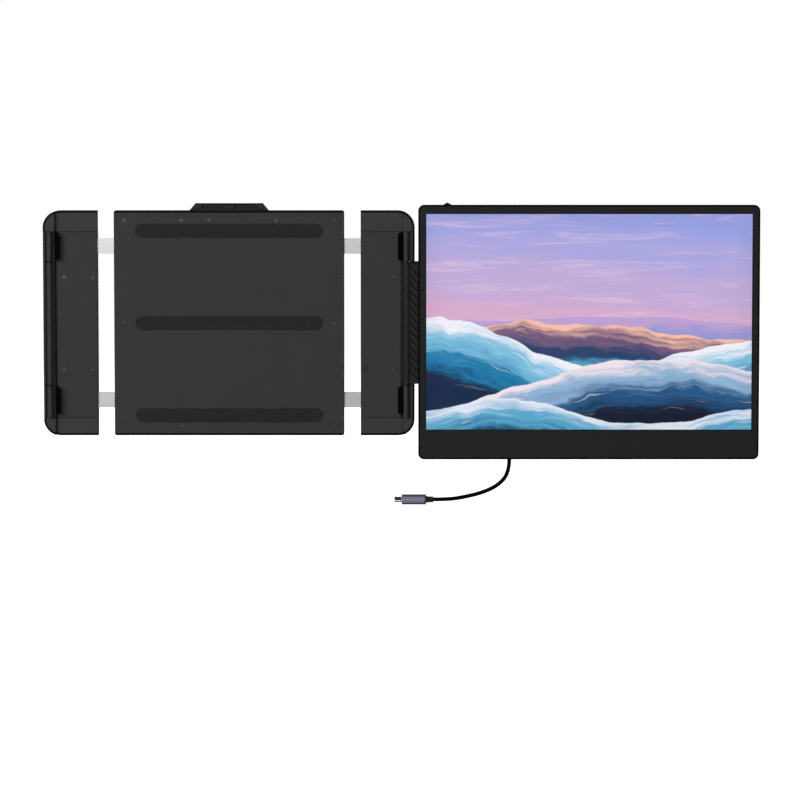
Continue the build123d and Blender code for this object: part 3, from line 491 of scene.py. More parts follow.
@dataclass(frozen=True)
class MouldedPlastic(Finish):
    """Moulded plastic with a spark-eroded texture, faint handling marks and rubbed edges."""

    colour: Colour
    rough: float = 0.56
    texture: float = 1900.0
    depth: float = 0.03 * MM
    specular: float = 0.05
    edge: float = 0.35 * MM
    # band, shade and rim set the painted shade along the edges and on the outline.
    band: float = 1.6 * MM
    shade: float = 0.6
    rim: Rim | None = None

    def look(self, graph: Graph) -> dict:
        """Mottled colour, uneven gloss, a pebbled skin and painted shade along the edges.

        Args:
            graph: The material's graph.

        Returns:
            The shader's inputs.
        """
        soft = graph.soft_edges(self.edge)
        rubbed = graph.edge_share(soft)
        mottle = graph.noise(55.0, 3.0, 0.6)
        handled = graph.noise(14.0, 2.0, 0.55, 0.4, seed=3.1).rise(0.5, 0.72)
        pebble = graph.noise(self.texture, 3.0, 0.65)
        pits = graph.cells(self.texture * 0.7, 0.4)
        tone = 0.9 + mottle * 0.16 + pebble * 0.1 - pits * 0.08
        return {
            "Base Color": graph.scaled(self.colour, graph.with_edge_shade(tone, self.band, self.shade, self.rim)),
            "Roughness": self.rough + (pebble - 0.5) * 0.14 - handled * 0.07 - rubbed * 0.08,
            "Specular IOR Level": self.specular,
            "Normal": graph.bump(pebble * 0.6 + pits * 0.4, self.depth, soft),
        }


@dataclass(frozen=True)
class AnodisedMetal(Finish):
    """Black anodised aluminium with brushed or blasted grain under its colour."""

    colour: Colour
    grain: Grain = Grain.BLASTED
    rough: float = 0.48
    metal: float = 0.1
    specular: float = 0.06
    depth: float = 0.012 * MM
    edge: float = 0.3 * MM
    # band, shade and rim set the painted shade along the edges and on the outline.
    band: float = 1.7 * MM
    shade: float = 0.88
    rim: Rim | None = None

    def look(self, graph: Graph) -> dict:
        """Fine lines or grain in colour and gloss, with painted shade along the edges.

        Args:
            graph: The material's graph.

        Returns:
            The shader's inputs.
        """
        soft = graph.soft_edges(self.edge)
        lines = graph.noise(self.grain.value, 3.0, 0.7)
        cloud = graph.noise(32.0, 3.0, 0.55, 0.3, seed=1.3)
        tone = 0.86 + lines * 0.16 + cloud * 0.12
        return {
            "Base Color": graph.scaled(self.colour, graph.with_edge_shade(tone, self.band, self.shade, self.rim)),
            "Metallic": self.metal,
            "Roughness": self.rough + (lines - 0.5) * 0.18 + (cloud - 0.5) * 0.1,
            "Specular IOR Level": self.specular,
            "Normal": graph.bump(lines, self.depth, soft),
        }


@dataclass(frozen=True)
class GroovedPlate(AnodisedMetal):
    """Anodised hinge plate that slopes back from its barrel to a flange behind the monitor."""

    axis: Pair = (160.5 * MM, -2.5 * MM)
    knee: Pair = (172.8 * MM, 13.9 * MM)
    barrel: float = 2.9 * MM
    face: float = 1.1 * MM
    groove: float = 0.45 * MM
    lip: float = 0.05 * MM
    turn: float = 0.4 * MM
    flat: Pair = (173.8 * MM, 178.8 * MM)

    def look(self, graph: Graph) -> dict:
        """The anodised look, with painted shade on the barrel, the floors of the grooves and the flange.

        Args:
            graph: The material's graph.

        Returns:
            The shader's inputs.
        """
        inputs = super().look(graph)
        x, y, _ = graph.axes()
        from_x, from_y = x - self.axis[0], y - self.axis[1]
        run_x, run_y = self.knee[0] - self.axis[0], self.knee[1] - self.axis[1]
        length = math.hypot(run_x, run_y)
        out = from_x * (run_y / length) - from_y * (run_x / length)
        # Painted shade on the groove floors, the barrel and the flange behind the monitor.
        groove_floor_shade = out.rise(self.face - self.groove, self.face - self.lip, 1.0, 0.0) * out.over(0.0)
        away = from_x.hypot(from_y)
        barrel_shade = away.rise(self.barrel, self.barrel + self.turn, 1.0, 0.0)
        flange = x.rise(*self.flat)
        share = (1.0 - groove_floor_shade * 0.75) * (1.0 - barrel_shade * 0.62) * (1.0 - flange * 0.6)
        inputs["Base Color"] = graph.scaled(inputs["Base Color"], share)
        return inputs


@dataclass(frozen=True)
class BareMetal(Finish):
    """Uncoated or plated metal: brushed lines, small scratches and slight tarnish."""

    colour: Colour
    tarnish: Colour
    grain: Grain = Grain.BLASTED
    rough: float = 0.3
    edge: float = 0.2 * MM

    def look(self, graph: Graph) -> dict:
        """Bright metal with lines in its gloss and dull patches.

        Args:
            graph: The material's graph.

        Returns:
            The shader's inputs.
        """
        soft = graph.soft_edges(self.edge)
        lines = graph.noise(self.grain.value, 3.0, 0.7)
        dull = graph.noise(90.0, 4.0, 0.6, 0.5, seed=2.2).rise(0.46, 0.72)
        scratch = graph.noise((700.0, 160.0, 300.0), 2.0, 0.5, 2.5, seed=5.0)
        fine = 1.0 - abs(scratch - 0.5).rise(0.0, 0.012)
        return {
            "Base Color": graph.mix(dull * 0.6 + fine * 0.2, self.colour, self.tarnish),
            "Metallic": 1.0,
            "Roughness": self.rough + dull * 0.16 + (lines - 0.5) * 0.16,
            "Normal": graph.bump(lines - fine * 0.3, depth=0.008 * MM, normal=soft),
        }


@dataclass(frozen=True)
class PowderCoat(Finish):
    """Baked powder on folded steel: fine orange peel, worn a little at the edges."""

    colour: Colour
    rough: float = 0.5

    def look(self, graph: Graph) -> dict:
        """Pebbled paint that shows dark steel where it is rubbed.

        Args:
            graph: The material's graph.

        Returns:
            The shader's inputs.
        """
        soft = graph.soft_edges(radius=0.25 * MM)
        rubbed = graph.edge_share(soft)
        peel = graph.noise(1400.0, 2.0, 0.45)
        chips = (graph.noise(520.0, 3.0, 0.6, seed=7.0) * rubbed).rise(0.42, 0.6)
        return {
            "Base Color": graph.mix(chips * 0.5, graph.scaled(self.colour, 0.85 + peel * 0.3), grey(60)),
            "Roughness": self.rough + (peel - 0.5) * 0.2,
            "Specular IOR Level": 0.02,
            "Normal": graph.bump(peel, depth=0.04 * MM, normal=soft),
        }


@dataclass(frozen=True)
class Rubber(Finish):
    """Soft rubber: dull, with a fine skin and a little dust."""

    colour: Colour
    rough: float = 0.82
    dust: float = 0.25
    skin: float = 1500.0
    specular: float = 0.25

    def look(self, graph: Graph) -> dict:
        """Dull skin with pale dust in soft patches.

        Args:
            graph: The material's graph.

        Returns:
            The shader's inputs.
        """
        soft = graph.soft_edges(radius=0.15 * MM)
        skin = graph.noise(self.skin, 3.0, 0.6)
        dusty = graph.noise(40.0, 4.0, 0.6, 0.6, seed=4.2).rise(0.5, 0.8) * skin
        tone = 0.88 + skin * 0.24
        pale = tuple(channel * 2.4 + 0.01 for channel in self.colour)
        return {
            "Base Color": graph.mix(dusty * self.dust, graph.scaled(self.colour, tone), pale),
            "Roughness": self.rough + (skin - 0.5) * 0.12 + dusty * 0.05,
            "Specular IOR Level": self.specular,
            "Normal": graph.bump(skin, depth=0.02 * MM, normal=soft),
        }


@dataclass(frozen=True)
class PlugShell(Finish):
    """Satin anodised plug shell with a plated tip."""

    colour: Colour
    rim: Rim
    tip_axis: int
    tip_edge: float
    tip_above: bool

    def look(self, graph: Graph) -> dict:
        """Anodised body with painted shade along its outline, and bright metal beyond the tip's edge.

        Args:
            graph: The material's graph.

        Returns:
            The shader's inputs.
        """
        soft = graph.soft_edges(radius=0.3 * MM)
        along = graph.axes()[self.tip_axis]
        tip = along.over(self.tip_edge) if self.tip_above else 1.0 - along.over(self.tip_edge)
        blast = graph.noise(2400.0, 3.0, 0.65)
        cloud = graph.noise(120.0, 3.0, 0.55, seed=2.0)
        # The rim's share darkens the shell with painted shade along the plug's outline.
        shell = graph.scaled(self.colour, (0.9 + blast * 0.14 + cloud * 0.12) * self.rim.share(graph))
        bright = graph.scaled(screen_colour(196, 194, 190), 0.9 + blast * 0.2)
        return {
            "Base Color": graph.mix(tip, shell, bright),
            "Metallic": 0.12 + tip * 0.88,
            "Roughness": 0.5 - tip * 0.24 + (blast - 0.5) * 0.16,
            "Specular IOR Level": 0.2,
            "Normal": graph.bump(blast, depth=0.012 * MM, normal=soft),
        }


@dataclass(frozen=True)
class SolderMask(Finish):
    """Circuit board: lacquered copper tracks, tinned pads, and black chips in front of one plane."""

    colour: Colour
    chip_front: float

    def look(self, graph: Graph) -> dict:
        """Tracks and pads as raised lines, and mottled epoxy where a chip stands.

        Args:
            graph: The material's graph.

        Returns:
            The shader's inputs.
        """
        x, y, z = graph.axes()
        soft = graph.soft_edges(radius=0.15 * MM)
        chip = 1.0 - y.over(self.chip_front)
        bend = graph.noise(45.0, 1.0, 0.3) * 9.0
        columns = abs((x * 520.0 + bend).fraction() - 0.5)
        rows = abs((z * 470.0 + bend * 1.3).fraction() - 0.5)
        group = graph.noise(38.0, 0.0, 0.0, seed=9.0).over(0.5)
        track = (columns * group + rows * (1.0 - group)).rise(0.3, 0.4)
        dots = 1.0 - graph.cells(620.0, 1.1).rise(0.16, 0.22)
        lacquer = graph.mix(track * 0.6, self.colour, tuple(c * 2.2 + 0.004 for c in self.colour))
        tinned = graph.mix(dots, lacquer, screen_colour(190, 184, 168))
        epoxy = graph.scaled(grey(38), 0.8 + graph.noise(900.0, 3.0, 0.6) * 0.4)
        return {
            "Base Color": graph.mix(chip, tinned, epoxy),
            "Metallic": dots * (1.0 - chip) * 0.9,
            "Roughness": 0.34 + chip * 0.3,
            "Normal": graph.bump((track * 0.5 + dots * 0.5) * (1.0 - chip), depth=0.04 * MM, normal=soft),
        }


@dataclass(frozen=True)
class LightGuide(Finish):
    """Acrylic sheet with a printed grid of white dots."""

    colour: Colour
    pitch: float = 1.2 * MM

    def look(self, graph: Graph) -> dict:
        """Milky sheet whose dots grow with height.

        Args:
            graph: The material's graph.

        Returns:
            The shader's inputs.
        """
        x, _, z = graph.axes()
        from_x = (x / self.pitch).fraction() - 0.5
        from_z = (z / self.pitch).fraction() - 0.5
        away = from_x.hypot(from_z)
        size = z.rise(-0.1, 0.1, 0.16, 0.4)
        dot = (size - away).rise(-0.02, 0.02)
        haze = graph.noise(60.0, 2.0, 0.5)
        soft = graph.soft_edges(radius=0.2 * MM)
        return {
            "Base Color": graph.mix(dot, graph.scaled(self.colour, 0.92 + haze * 0.1), (0.93, 0.94, 0.95)),
            "Roughness": 0.08 + dot * 0.5 + haze * 0.04,
            "Normal": graph.bump(dot, depth=0.01 * MM, normal=soft),
        }


@dataclass(frozen=True)
class SocketShell(Finish):
    """Drawn steel socket shell round a black tongue with gilt contacts."""

    middle: float
    tongue_half: float
    contact_pitch: float = 0.5 * MM

    def look(self, graph: Graph) -> dict:
        """Bright outside, with dark plastic and contacts near the middle plane.

        Args:
            graph: The material's graph.

        Returns:
            The shader's inputs.
        """
        x, y, _ = graph.axes()
        soft = graph.soft_edges(radius=0.15 * MM)
        tongue = 1.0 - abs(y - self.middle).over(self.tongue_half)
        lines = graph.noise(Grain.ALONG_Z.value, 2.0, 0.6)
        contact = abs((x / self.contact_pitch).fraction() - 0.5).rise(0.2, 0.28) * tongue
        shell = graph.scaled(screen_colour(186, 186, 184), 0.86 + lines * 0.24)
        inner = graph.mix(contact, grey(24), screen_colour(214, 176, 96))
        return {
            "Base Color": graph.mix(tongue, shell, inner),
            "Metallic": 1.0 - tongue * (1.0 - contact),
            "Roughness": 0.3 + tongue * 0.15 + (lines - 0.5) * 0.12,
            "Normal": graph.bump(lines, depth=0.006 * MM, normal=soft),
        }


@dataclass(frozen=True)
class Swell:
    """One ridge of the display's picture, in shares of the display's half size.

    Its colours run from the crest down to the foot.
    """

    level: float
    height: float
    waves: float
    phase: float
    tilt: float
    reach: float
    strands: float
    shine: float
    colours: tuple[Colour, ...]

    def paint(self, graph: Graph, behind: Paint, across: Field, up: Field) -> Socket:
        """Paints the ridge in front of what is behind it.

        Args:
            graph: The material's graph.
            behind: The colour behind the ridge.
            across: From -1 at the left to 1 at the right.
            up: From -1 at the bottom to 1 at the top.

        Returns:
            The colour with the ridge painted in.
        """
        roll = (across * self.waves + self.phase).sine() * self.height
        ripple = graph.noise(1.0, 3.0, 0.5, 0.0, graph.vector(across * 3.1, self.phase, 0.0), self.phase)
        crest = roll + (ripple - 0.5) * self.height * 1.3 + across * self.tilt + self.level
        depth = crest - up
        inside = depth.rise(-0.004, 0.006)
        warp = graph.noise(1.0, 3.0, 0.6, 0.3, graph.vector(across * 2.6, up * 2.6, self.phase), self.phase)
        strand = graph.vector(across * 2.2, depth * self.strands + warp * 3.4, self.phase)
        strands = graph.noise(1.0, 5.0, 0.62, 0.35, strand, self.phase * 2.0)
        body = graph.ramp(
            (depth / self.reach + (strands - 0.5) * 0.75 + (warp - 0.5) * 0.5).at_least(0.0).at_most(1.0),
            tuple(zip(SWELL_DEPTHS, self.colours)),
        )
        glint = strands.rise(0.6, 0.68) * depth.rise(0.0, self.reach, 1.0, 0.15)
        return graph.mix(inside, behind, graph.mix(glint * self.shine, body, self.colours[0]))


SKY_HEIGHTS = (0.36, 0.5, 0.66, 0.82, 1.0)
SKY_COLOURS = palette(
    (222, 158, 188), (214, 170, 204), (192, 170, 216), (170, 166, 222), (152, 160, 226)
)
SWELL_DEPTHS = (0.0, 0.3, 0.62, 1.0)
SWELLS = (
    Swell(
        0.02, 0.05, 2.6, 0.7, -0.05, 0.5, 9.0, 0.2,
        palette((188, 160, 210), (150, 150, 210), (120, 160, 214), (150, 190, 226)),
    ),
    Swell(
        -0.12, 0.15, 2.1, 2.4, 0.1, 0.4, 15.0, 0.5,
        palette((246, 190, 168), (120, 92, 124), (38, 62, 104), (96, 172, 208)),
    ),
    Swell(
        -0.24, 0.16, 3.3, 4.6, -0.12, 0.6, 15.0, 0.8,
        palette((240, 240, 248), (120, 188, 220), (26, 122, 170), (12, 38, 72)),
    ),
    Swell(
        -0.52, 0.15, 2.7, 1.1, 0.16, 0.5, 17.0, 0.8,
        palette((240, 226, 234), (140, 176, 210), (34, 84, 130), (14, 24, 46)),
    ),
    Swell(
        -0.84, 0.11, 3.9, 3.4, -0.05, 0.5, 19.0, 0.7,
        palette((226, 232, 244), (84, 166, 204), (16, 72, 112), (10, 22, 42)),
    ),
)


@dataclass(frozen=True)
class DisplayArt(Finish):
    """Lit panel: a dusk sky over rolling swell, inside a black border, with a matte front film."""

    centre: Pair = (327.25 * MM, 0.8 * MM)
    half_size: Pair = (148.25 * MM, 98.3 * MM)
    front: float = 4.3 * MM
    border: float = 0.15 * MM
    film_depth: float = 0.2 * MM

    def sky(self, graph: Graph, across: Field, up: Field) -> Socket:
        """Periwinkle above, rose at the horizon, with long soft clouds.

        Args:
            graph: The material's graph.
            across: From -1 at the left to 1 at the right.
            up: From -1 at the bottom to 1 at the top.

        Returns:
            The sky's colour.
        """
        flow = graph.vector(across * 0.9, up * 4.2, 0.0)
        cloud = graph.noise(1.0, 4.0, 0.55, 0.5, flow, 1.7)
        height = up * 0.5 + 0.5 + (cloud - 0.5) * 0.3 + across * 0.05
        base = graph.ramp(height, tuple(zip(SKY_HEIGHTS, SKY_COLOURS)))
        wisp = graph.noise(1.0, 5.0, 0.6, 0.8, graph.vector(across * 1.6, up * 11.0, 0.0), 6.1)
        return graph.mix(wisp.rise(0.5, 0.74) * 0.45, base, screen_colour(236, 206, 226))

    def look(self, graph: Graph) -> dict:
        """Glows on the front inside the border; elsewhere dark film and metal.

        Args:
            graph: The material's graph.

        Returns:
            The shader's inputs.
        """
        x, y, z = graph.axes()
        across = (x - self.centre[0]) / self.half_size[0]
        up = (z - self.centre[1]) / self.half_size[1]
        colour = self.sky(graph, across, up)
        for swell in SWELLS:
            colour = swell.paint(graph, colour, across, up)
        from_x = self.half_size[0] - self.border - abs(x - self.centre[0])
        from_z = self.half_size[1] - self.border - abs(z - self.centre[1])
        inside = from_x.at_most(from_z)
        lit = inside.over(0.0) * (1.0 - y.over(self.front + self.film_depth))
        falloff = inside.rise(0.0, 0.02, 0.93, 1.0)
        film = graph.noise(1600.0, 2.0, 0.5)
        soft = graph.soft_edges(radius=0.2 * MM)
        return {
            "Base Color": graph.scaled(grey(5), 0.8 + film * 0.4),
            "Roughness": 0.42 + (film - 0.5) * 0.1,
            "Specular IOR Level": 0.1,
            "Emission Color": graph.scaled(graph.scaled(colour, falloff), lit),
            "Emission Strength": 1.0,
            "Normal": graph.bump(film, depth=0.005 * MM, normal=soft),
        }


# Painted shade on the outlines of the grips, arms and bezel; the two arm finishes differ only in its width.
GRIP_NODES = ("left_top_cap", "left_bottom_cap", "right_top_cap")
GRIP_CORNER = 15.5 * MM
GRIP_FRONT = 1.0 * MM
GRIP_OUTLINE_SHADE = Rim(GRIP_NODES, GRIP_CORNER, 2.5 * MM, GRIP_FRONT, rest=0.4)
THIN_GRIP_OUTLINE_SHADE = Rim(GRIP_NODES, GRIP_CORNER, 1.1 * MM, GRIP_FRONT)
SCREEN_OUTLINE_SHADE = Rim(("front_bezel",), 5.5 * MM, 2.0 * MM, 6.0 * MM, rest=0.25)

HOUSING = MouldedPlastic("housing_skin", grey(58), rim=GRIP_OUTLINE_SHADE)
CAP = MouldedPlastic("cap_skin", grey(61), rough=0.5, texture=2300.0, depth=0.02 * MM, rim=GRIP_OUTLINE_SHADE)
BEZEL = MouldedPlastic(
    "bezel_skin", grey(40), rough=0.5, texture=2600.0, depth=0.015 * MM, specular=0.03, rim=SCREEN_OUTLINE_SHADE
)
SHELL = MouldedPlastic("shell_skin", grey(44), rough=0.6, texture=1500.0, depth=0.04 * MM)
ACETAL = MouldedPlastic("acetal_skin", grey(80), rough=0.4, texture=3000.0, depth=0.008 * MM)
BRACKET = AnodisedMetal("bracket_anodising", grey(42))
LEFT_ARM = AnodisedMetal("left_arm_anodising", grey(60), rim=THIN_GRIP_OUTLINE_SHADE)
RIGHT_ARM = AnodisedMetal("right_arm_anodising", grey(60), rim=GRIP_OUTLINE_SHADE)
STAND = AnodisedMetal("stand_anodising", grey(48), Grain.ALONG_Z)
HINGE = GroovedPlate("hinge_anodising", grey(84), Grain.ALONG_Z, rough=0.6, specular=0.02, shade=0.3)
HOOK = PowderCoat("hook_powder", grey(2), rough=0.6)
RAIL = BareMetal("rail_steel", grey(112), grey(72), Grain.ALONG_X, 0.34)
TRAY = BareMetal("tray_aluminium", grey(190), grey(150), Grain.ALONG_X, 0.34)
SPRING = BareMetal("spring_steel", screen_colour(120, 124, 132), screen_colour(84, 78, 80), Grain.ALONG_Z)
SCREW = BareMetal("screw_black_zinc", grey(56), grey(32), rough=0.4)
PAD = Rubber("pad_rubber", grey(36))
JACKET = Rubber("cord_jacket", grey(5), rough=0.6, dust=0.08, skin=2200.0, specular=0.06)
RELIEF = Rubber("relief_rubber", grey(26), rough=0.6, dust=0.1, skin=2200.0)


# ------------ pieces


@dataclass(frozen=True)
class RibbedPad:
    """A rubber strip with a crowned edge and fine ribs, lying on its back face.

    The last five values set the ribs' distance from the edge, in edge_round, and how fine the mesh is.
    """

    centre: Point
    out: Point
    length: float
    width: float
    thickness: float
    end_radius: float
    rib_pitch: float
    rib_depth: float
    edge_round: float
    along: Point = (1.0, 0.0, 0.0)
    ribs_across: bool = False
    rib_start: float = 1.2
    steps_per_rib: int = 6
    plain_steps: Pair = (60, 8)
    edge_shares: tuple[float, ...] = (0.0, 0.06, 0.2, 0.42, 0.7, 1.0, 1.45)
    turn_step: int = 8

    def half_width(self, s: float) -> float:
        """Half of the strip's width, which shrinks round its ends.

        Args:
            s: Distance along the strip from its middle.

        Returns:
            The half width in metres.
        """
        past = abs(s) - (self.length / 2 - self.end_radius)
        if past <= 0:
            return self.width / 2
        rest = max(self.end_radius**2 - past**2, 0.0)
        return self.width / 2 - self.end_radius + math.sqrt(rest)

    def height(self, s: float, t: float) -> float:
        """Height of the touching face over the back face.

        Args:
            s: Distance along the strip from its middle.
            t: Distance across it from its middle.

        Returns:
            The height in metres.
        """
        inset = min(self.half_width(s) - abs(t), self.length / 2 - abs(s))
        level = self.thickness
        if inset < self.edge_round:
            fall = self.edge_round - inset
            level -= self.edge_round - math.sqrt(max(self.edge_round**2 - fall**2, 0.0))
        phase = (s if self.ribs_across else t) / self.rib_pitch
        groove = (0.5 - 0.5 * math.cos(2 * math.pi * phase)) ** 3
        fade = min(max(inset / self.edge_round - self.rib_start, 0.0), 1.0)
        return level - self.rib_depth * groove * fade

    def steps(self, half: float, step: float) -> list[float]:
        """Places from -half to half, closer together towards both ends.

        Args:
            half: The last place.
            step: The distance between places in the middle.

        Returns:
            The places in order.
        """
        inner = half - 2 * self.edge_round
        count = max(2, round(2 * inner / step))
        ends = [half - self.edge_round * share for share in self.edge_shares]
        middle = [-inner + 2 * inner * i / count for i in range(count + 1)]
        return [-e for e in ends] + middle + ends[::-1]

    def add_to(self, mesh: bmesh.types.BMesh) -> None:
        """Adds the strip to a mesh.

        Args:
            mesh: The mesh, which may hold other strips.
        """
        along, out = Vector(self.along), Vector(self.out)
        across = out.cross(along)
        origin = Vector(self.centre)
        step_along, step_across = self.length / self.plain_steps[0], self.width / self.plain_steps[1]
        if self.ribs_across:
            step_along = self.rib_pitch / self.steps_per_rib
        else:
            step_across = self.rib_pitch / self.steps_per_rib
        columns = self.steps(self.length / 2, step_along)
        if self.end_radius > self.edge_round:
            reach = self.length / 2
            angles = range(self.turn_step, 90, self.turn_step)
            turn = [reach - self.end_radius * (1 - math.cos(math.radians(a))) for a in angles]
            columns = sorted(set(columns) | set(turn) | {-place for place in turn})
        rows = [place / (self.width / 2) for place in self.steps(self.width / 2, step_across)]
        before = set(mesh.verts)
        grid = []
        for s in columns:
            half = max(self.half_width(s), LEAST_HALF_WIDTH)
            line = [
                mesh.verts.new(origin + along * s + across * (half * w) + out * self.height(s, half * w))
                for w in rows
            ]
            grid.append(line)
        for left, right in zip(grid, grid[1:]):
            for i in range(len(rows) - 1):
                mesh.faces.new((left[i], right[i], right[i + 1], left[i + 1]))
        rim = [line[0] for line in grid] + grid[-1][1:] + [line[-1] for line in reversed(grid[:-1])]
        rim += grid[0][-2:0:-1]
        low = [mesh.verts.new(v.co - out * (v.co - origin).dot(out)) for v in rim]
        for i, vertex in enumerate(rim):
            after = (i + 1) % len(rim)
            mesh.faces.new((vertex, low[i], low[after], rim[after]))
        mesh.faces.new(low[::-1])
        new = [v for v in mesh.verts if v not in before]
        bmesh.ops.remove_doubles(mesh, verts=new, dist=SAME_POINT)


@dataclass
class SubAssembly:
    """What every sub-assembly shares: it dresses its nodes and makes its own pieces."""

    body: str

    def dress(self, **finishes: Finish) -> None:
        """Gives CAD nodes their finishes.

        Args:
            **finishes: The finish for each node, by its name.
        """
        for name, finish in finishes.items():
            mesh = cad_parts[name].data
            mesh.materials.clear()
            mesh.materials.append(finish.material())
            LOG.info("%s: %s", name, finish.label)

    def add_pads(self, name: str, pads: list[RibbedPad], body: str | None = None) -> bpy.types.Object:
        """Makes one piece of some rubber pads and lets it ride on a body.

        Args:
            name: The piece's name.
            pads: The pads.
            body: The body it rides on, or the sub-assembly's own.

        Returns:
            The new object.
        """
        mesh = bmesh.new()
        for pad in pads:
            pad.add_to(mesh)
        bmesh.ops.recalc_face_normals(mesh, faces=mesh.faces)
        data = bpy.data.meshes.new(name)
        mesh.to_mesh(data)
        mesh.free()
        data.shade_smooth()
        data.set_sharp_from_angle(angle=FOLD_ANGLE)
        data.materials.append(PAD.material())
        piece = add_object(name, data)
        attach(piece, body or self.body)
        LOG.info("%s: %s on %s", name, PAD.label, body or self.body)
        return piece


@dataclass
class CentreFrame(SubAssembly):
    """The centre housing: covers, guides, brakes and the rubber strips that the lid rests on."""

    body: str = "centre"
    pad_half_length: float = 84.99 * MM
    pad_half_height: float = 5.99 * MM
    pad_levels: tuple[float, ...] = (-84.0 * MM, 0.0, 84.0 * MM)
    pad_seat: float = 1.0 * MM

    def build(self) -> None:
        """Dresses the housing and lays its pads."""
        self.dress(
            front_cover=HOUSING,
            rear_housing=HOUSING,
            guide_blocks=ACETAL,
            brake_springs=SPRING,
            housing_screws=SCREW,
            stand_bracket=BRACKET,
            stand_hinge_pin=SCREW,
        )
        pads = [
            RibbedPad(
                centre=(0.0, self.pad_seat, level),
                out=(0.0, -1.0, 0.0),
                length=2 * self.pad_half_length,
                width=2 * self.pad_half_height,
                thickness=self.pad_seat,
                end_radius=self.pad_half_height,
                rib_pitch=1.5 * MM,
                rib_depth=0.3 * MM,
                edge_round=0.45 * MM,
            )
            for level in self.pad_levels
        ]
        strips = self.add_pads("lid_pad_strips", pads)
        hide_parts("lid_pads")


class Side(Enum):
    """Which arm it is, with the way along X that it reaches."""

    LEFT = -1
    RIGHT = 1

    @property
    def word(self) -> str:
        """The side's name in node names."""
        return self.name.lower()


@dataclass
class Arm(SubAssembly):
    """One sliding arm: frame, caps, rails, hinge barrels and two sprung hooks."""

    body: str = ""
    side: Side = Side.LEFT
    pad_x: Pair = (153.7 * MM, 156.3 * MM)
    pad_y: Pair = (-6.8 * MM, -6.2 * MM)
    pad_z: Pair = (59.0 * MM, 80.8 * MM)

    def build(self) -> None:
        """Dresses the arm and lays a pad in each hook."""
        word = self.side.word
        self.body = f"{word}_arm"
        is_left = self.side is Side.LEFT
        metal = LEFT_ARM if is_left else RIGHT_ARM
        between_knuckles = {"blank_barrel": metal} if is_left else {"hinge_washers": SCREW}
        finishes = {
            "frame": metal,
            "cover": HOUSING,
            "top_cap": CAP,
            "bottom_cap": CAP,
            "rails": RAIL,
            "hinge_pin": SCREW,
            "screws": SCREW,
            "hook_springs": SPRING,
            "upper_hook": HOOK,
            "lower_hook": HOOK,
            **between_knuckles,
        }
        self.dress(**{f"{word}_{name}": finish for name, finish in finishes.items()})
        for place, sign in (("upper", 1), ("lower", -1)):
            self.add_hook_pad(place, sign)

    def add_hook_pad(self, place: str, sign: int) -> None:
        """Lays the rubber inside one hook's lip.

        Args:
            place: upper or lower.
            sign: 1 for the upper hook and -1 for the lower one.
        """
        pad = RibbedPad(
            centre=(self.side.value * sum(self.pad_x) / 2, self.pad_y[0], sign * sum(self.pad_z) / 2),
            along=(0.0, 0.0, 1.0),
            out=(0.0, 1.0, 0.0),
            length=self.pad_z[1] - self.pad_z[0],
            width=self.pad_x[1] - self.pad_x[0],
            thickness=self.pad_y[1] - self.pad_y[0],
            end_radius=0.5 * MM,
            rib_pitch=1.1 * MM,
            rib_depth=0.2 * MM,
            edge_round=0.2 * MM,
            ribs_across=True,
        )
        name = f"{self.side.word}_{place}_hook"
        grip = self.add_pads(f"{name}_grip", [pad], name)
        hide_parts(f"{name}_pad")


@dataclass
class Kickstand(SubAssembly):
    """The folding leaf with its sliding leg and rubber foot."""

    body: str = "kickstand"
    foot_half_width: float = 25.6 * MM
    foot_y: Pair = (7.8 * MM, 11.5 * MM)
    foot_z: Pair = (-101.6 * MM, -99.8 * MM)

    def build(self) -> None:
        """Dresses the leaf and leg and fits the foot."""
        self.dress(stand_leaf=STAND, stand_slider=STAND)
        pad = RibbedPad(
            centre=(0.0, sum(self.foot_y) / 2, self.foot_z[1]),
            out=(0.0, 0.0, -1.0),
            length=2 * self.foot_half_width,
            width=self.foot_y[1] - self.foot_y[0],
            thickness=self.foot_z[1] - self.foot_z[0],
            end_radius=1.2 * MM,
            rib_pitch=0.9 * MM,
            rib_depth=0.25 * MM,
            edge_round=0.5 * MM,
        )
        foot = self.add_pads("stand_foot", [pad], "stand_slider")
        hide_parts("stand_foot_pad")


@dataclass
class HingePlate(SubAssembly):
    """The grooved plate that joins the right barrel to the monitor's back."""

    body: str = "monitor"

    def build(self) -> None:
        """Dresses the plate, its screws and the plate inside the monitor."""
        self.dress(hinge_plate=HINGE, plate_screws=SCREW, backing_plate=SPRING)


@dataclass
class Monitor(SubAssembly):
    """The portable monitor: bezel, lit panel, backlight, shell, board, sockets and rocker."""

    body: str = "monitor"
    board_front: float = 12.99 * MM
    usb_y: float = 15.9 * MM
    hdmi_y: float = 15.85 * MM

    def build(self) -> None:
        """Dresses every part of the monitor."""
        self.dress(
            front_bezel=BEZEL,
            lcd_panel=DisplayArt("display_panel"),
            light_guide=LightGuide("light_guide_acrylic", (0.7, 0.74, 0.76)),
            led_strip=SolderMask("led_strip_board", (0.62, 0.62, 0.58), 0.0),
            panel_tray=TRAY,
            rear_shell=SHELL,
            shell_screws=SCREW,
            main_board=SolderMask("main_board_lacquer", (0.004, 0.022, 0.014), self.board_front),
            usb_sockets=SocketShell("usb_socket_shell", self.usb_y, 0.32 * MM),
            hdmi_socket=SocketShell("hdmi_socket_shell", self.hdmi_y, 0.37 * MM, 0.4 * MM),
            speakers=ACETAL,
            rocker_switch=ACETAL,
            rocker_stem=SPRING,
            rocker_cap=BEZEL,
        )


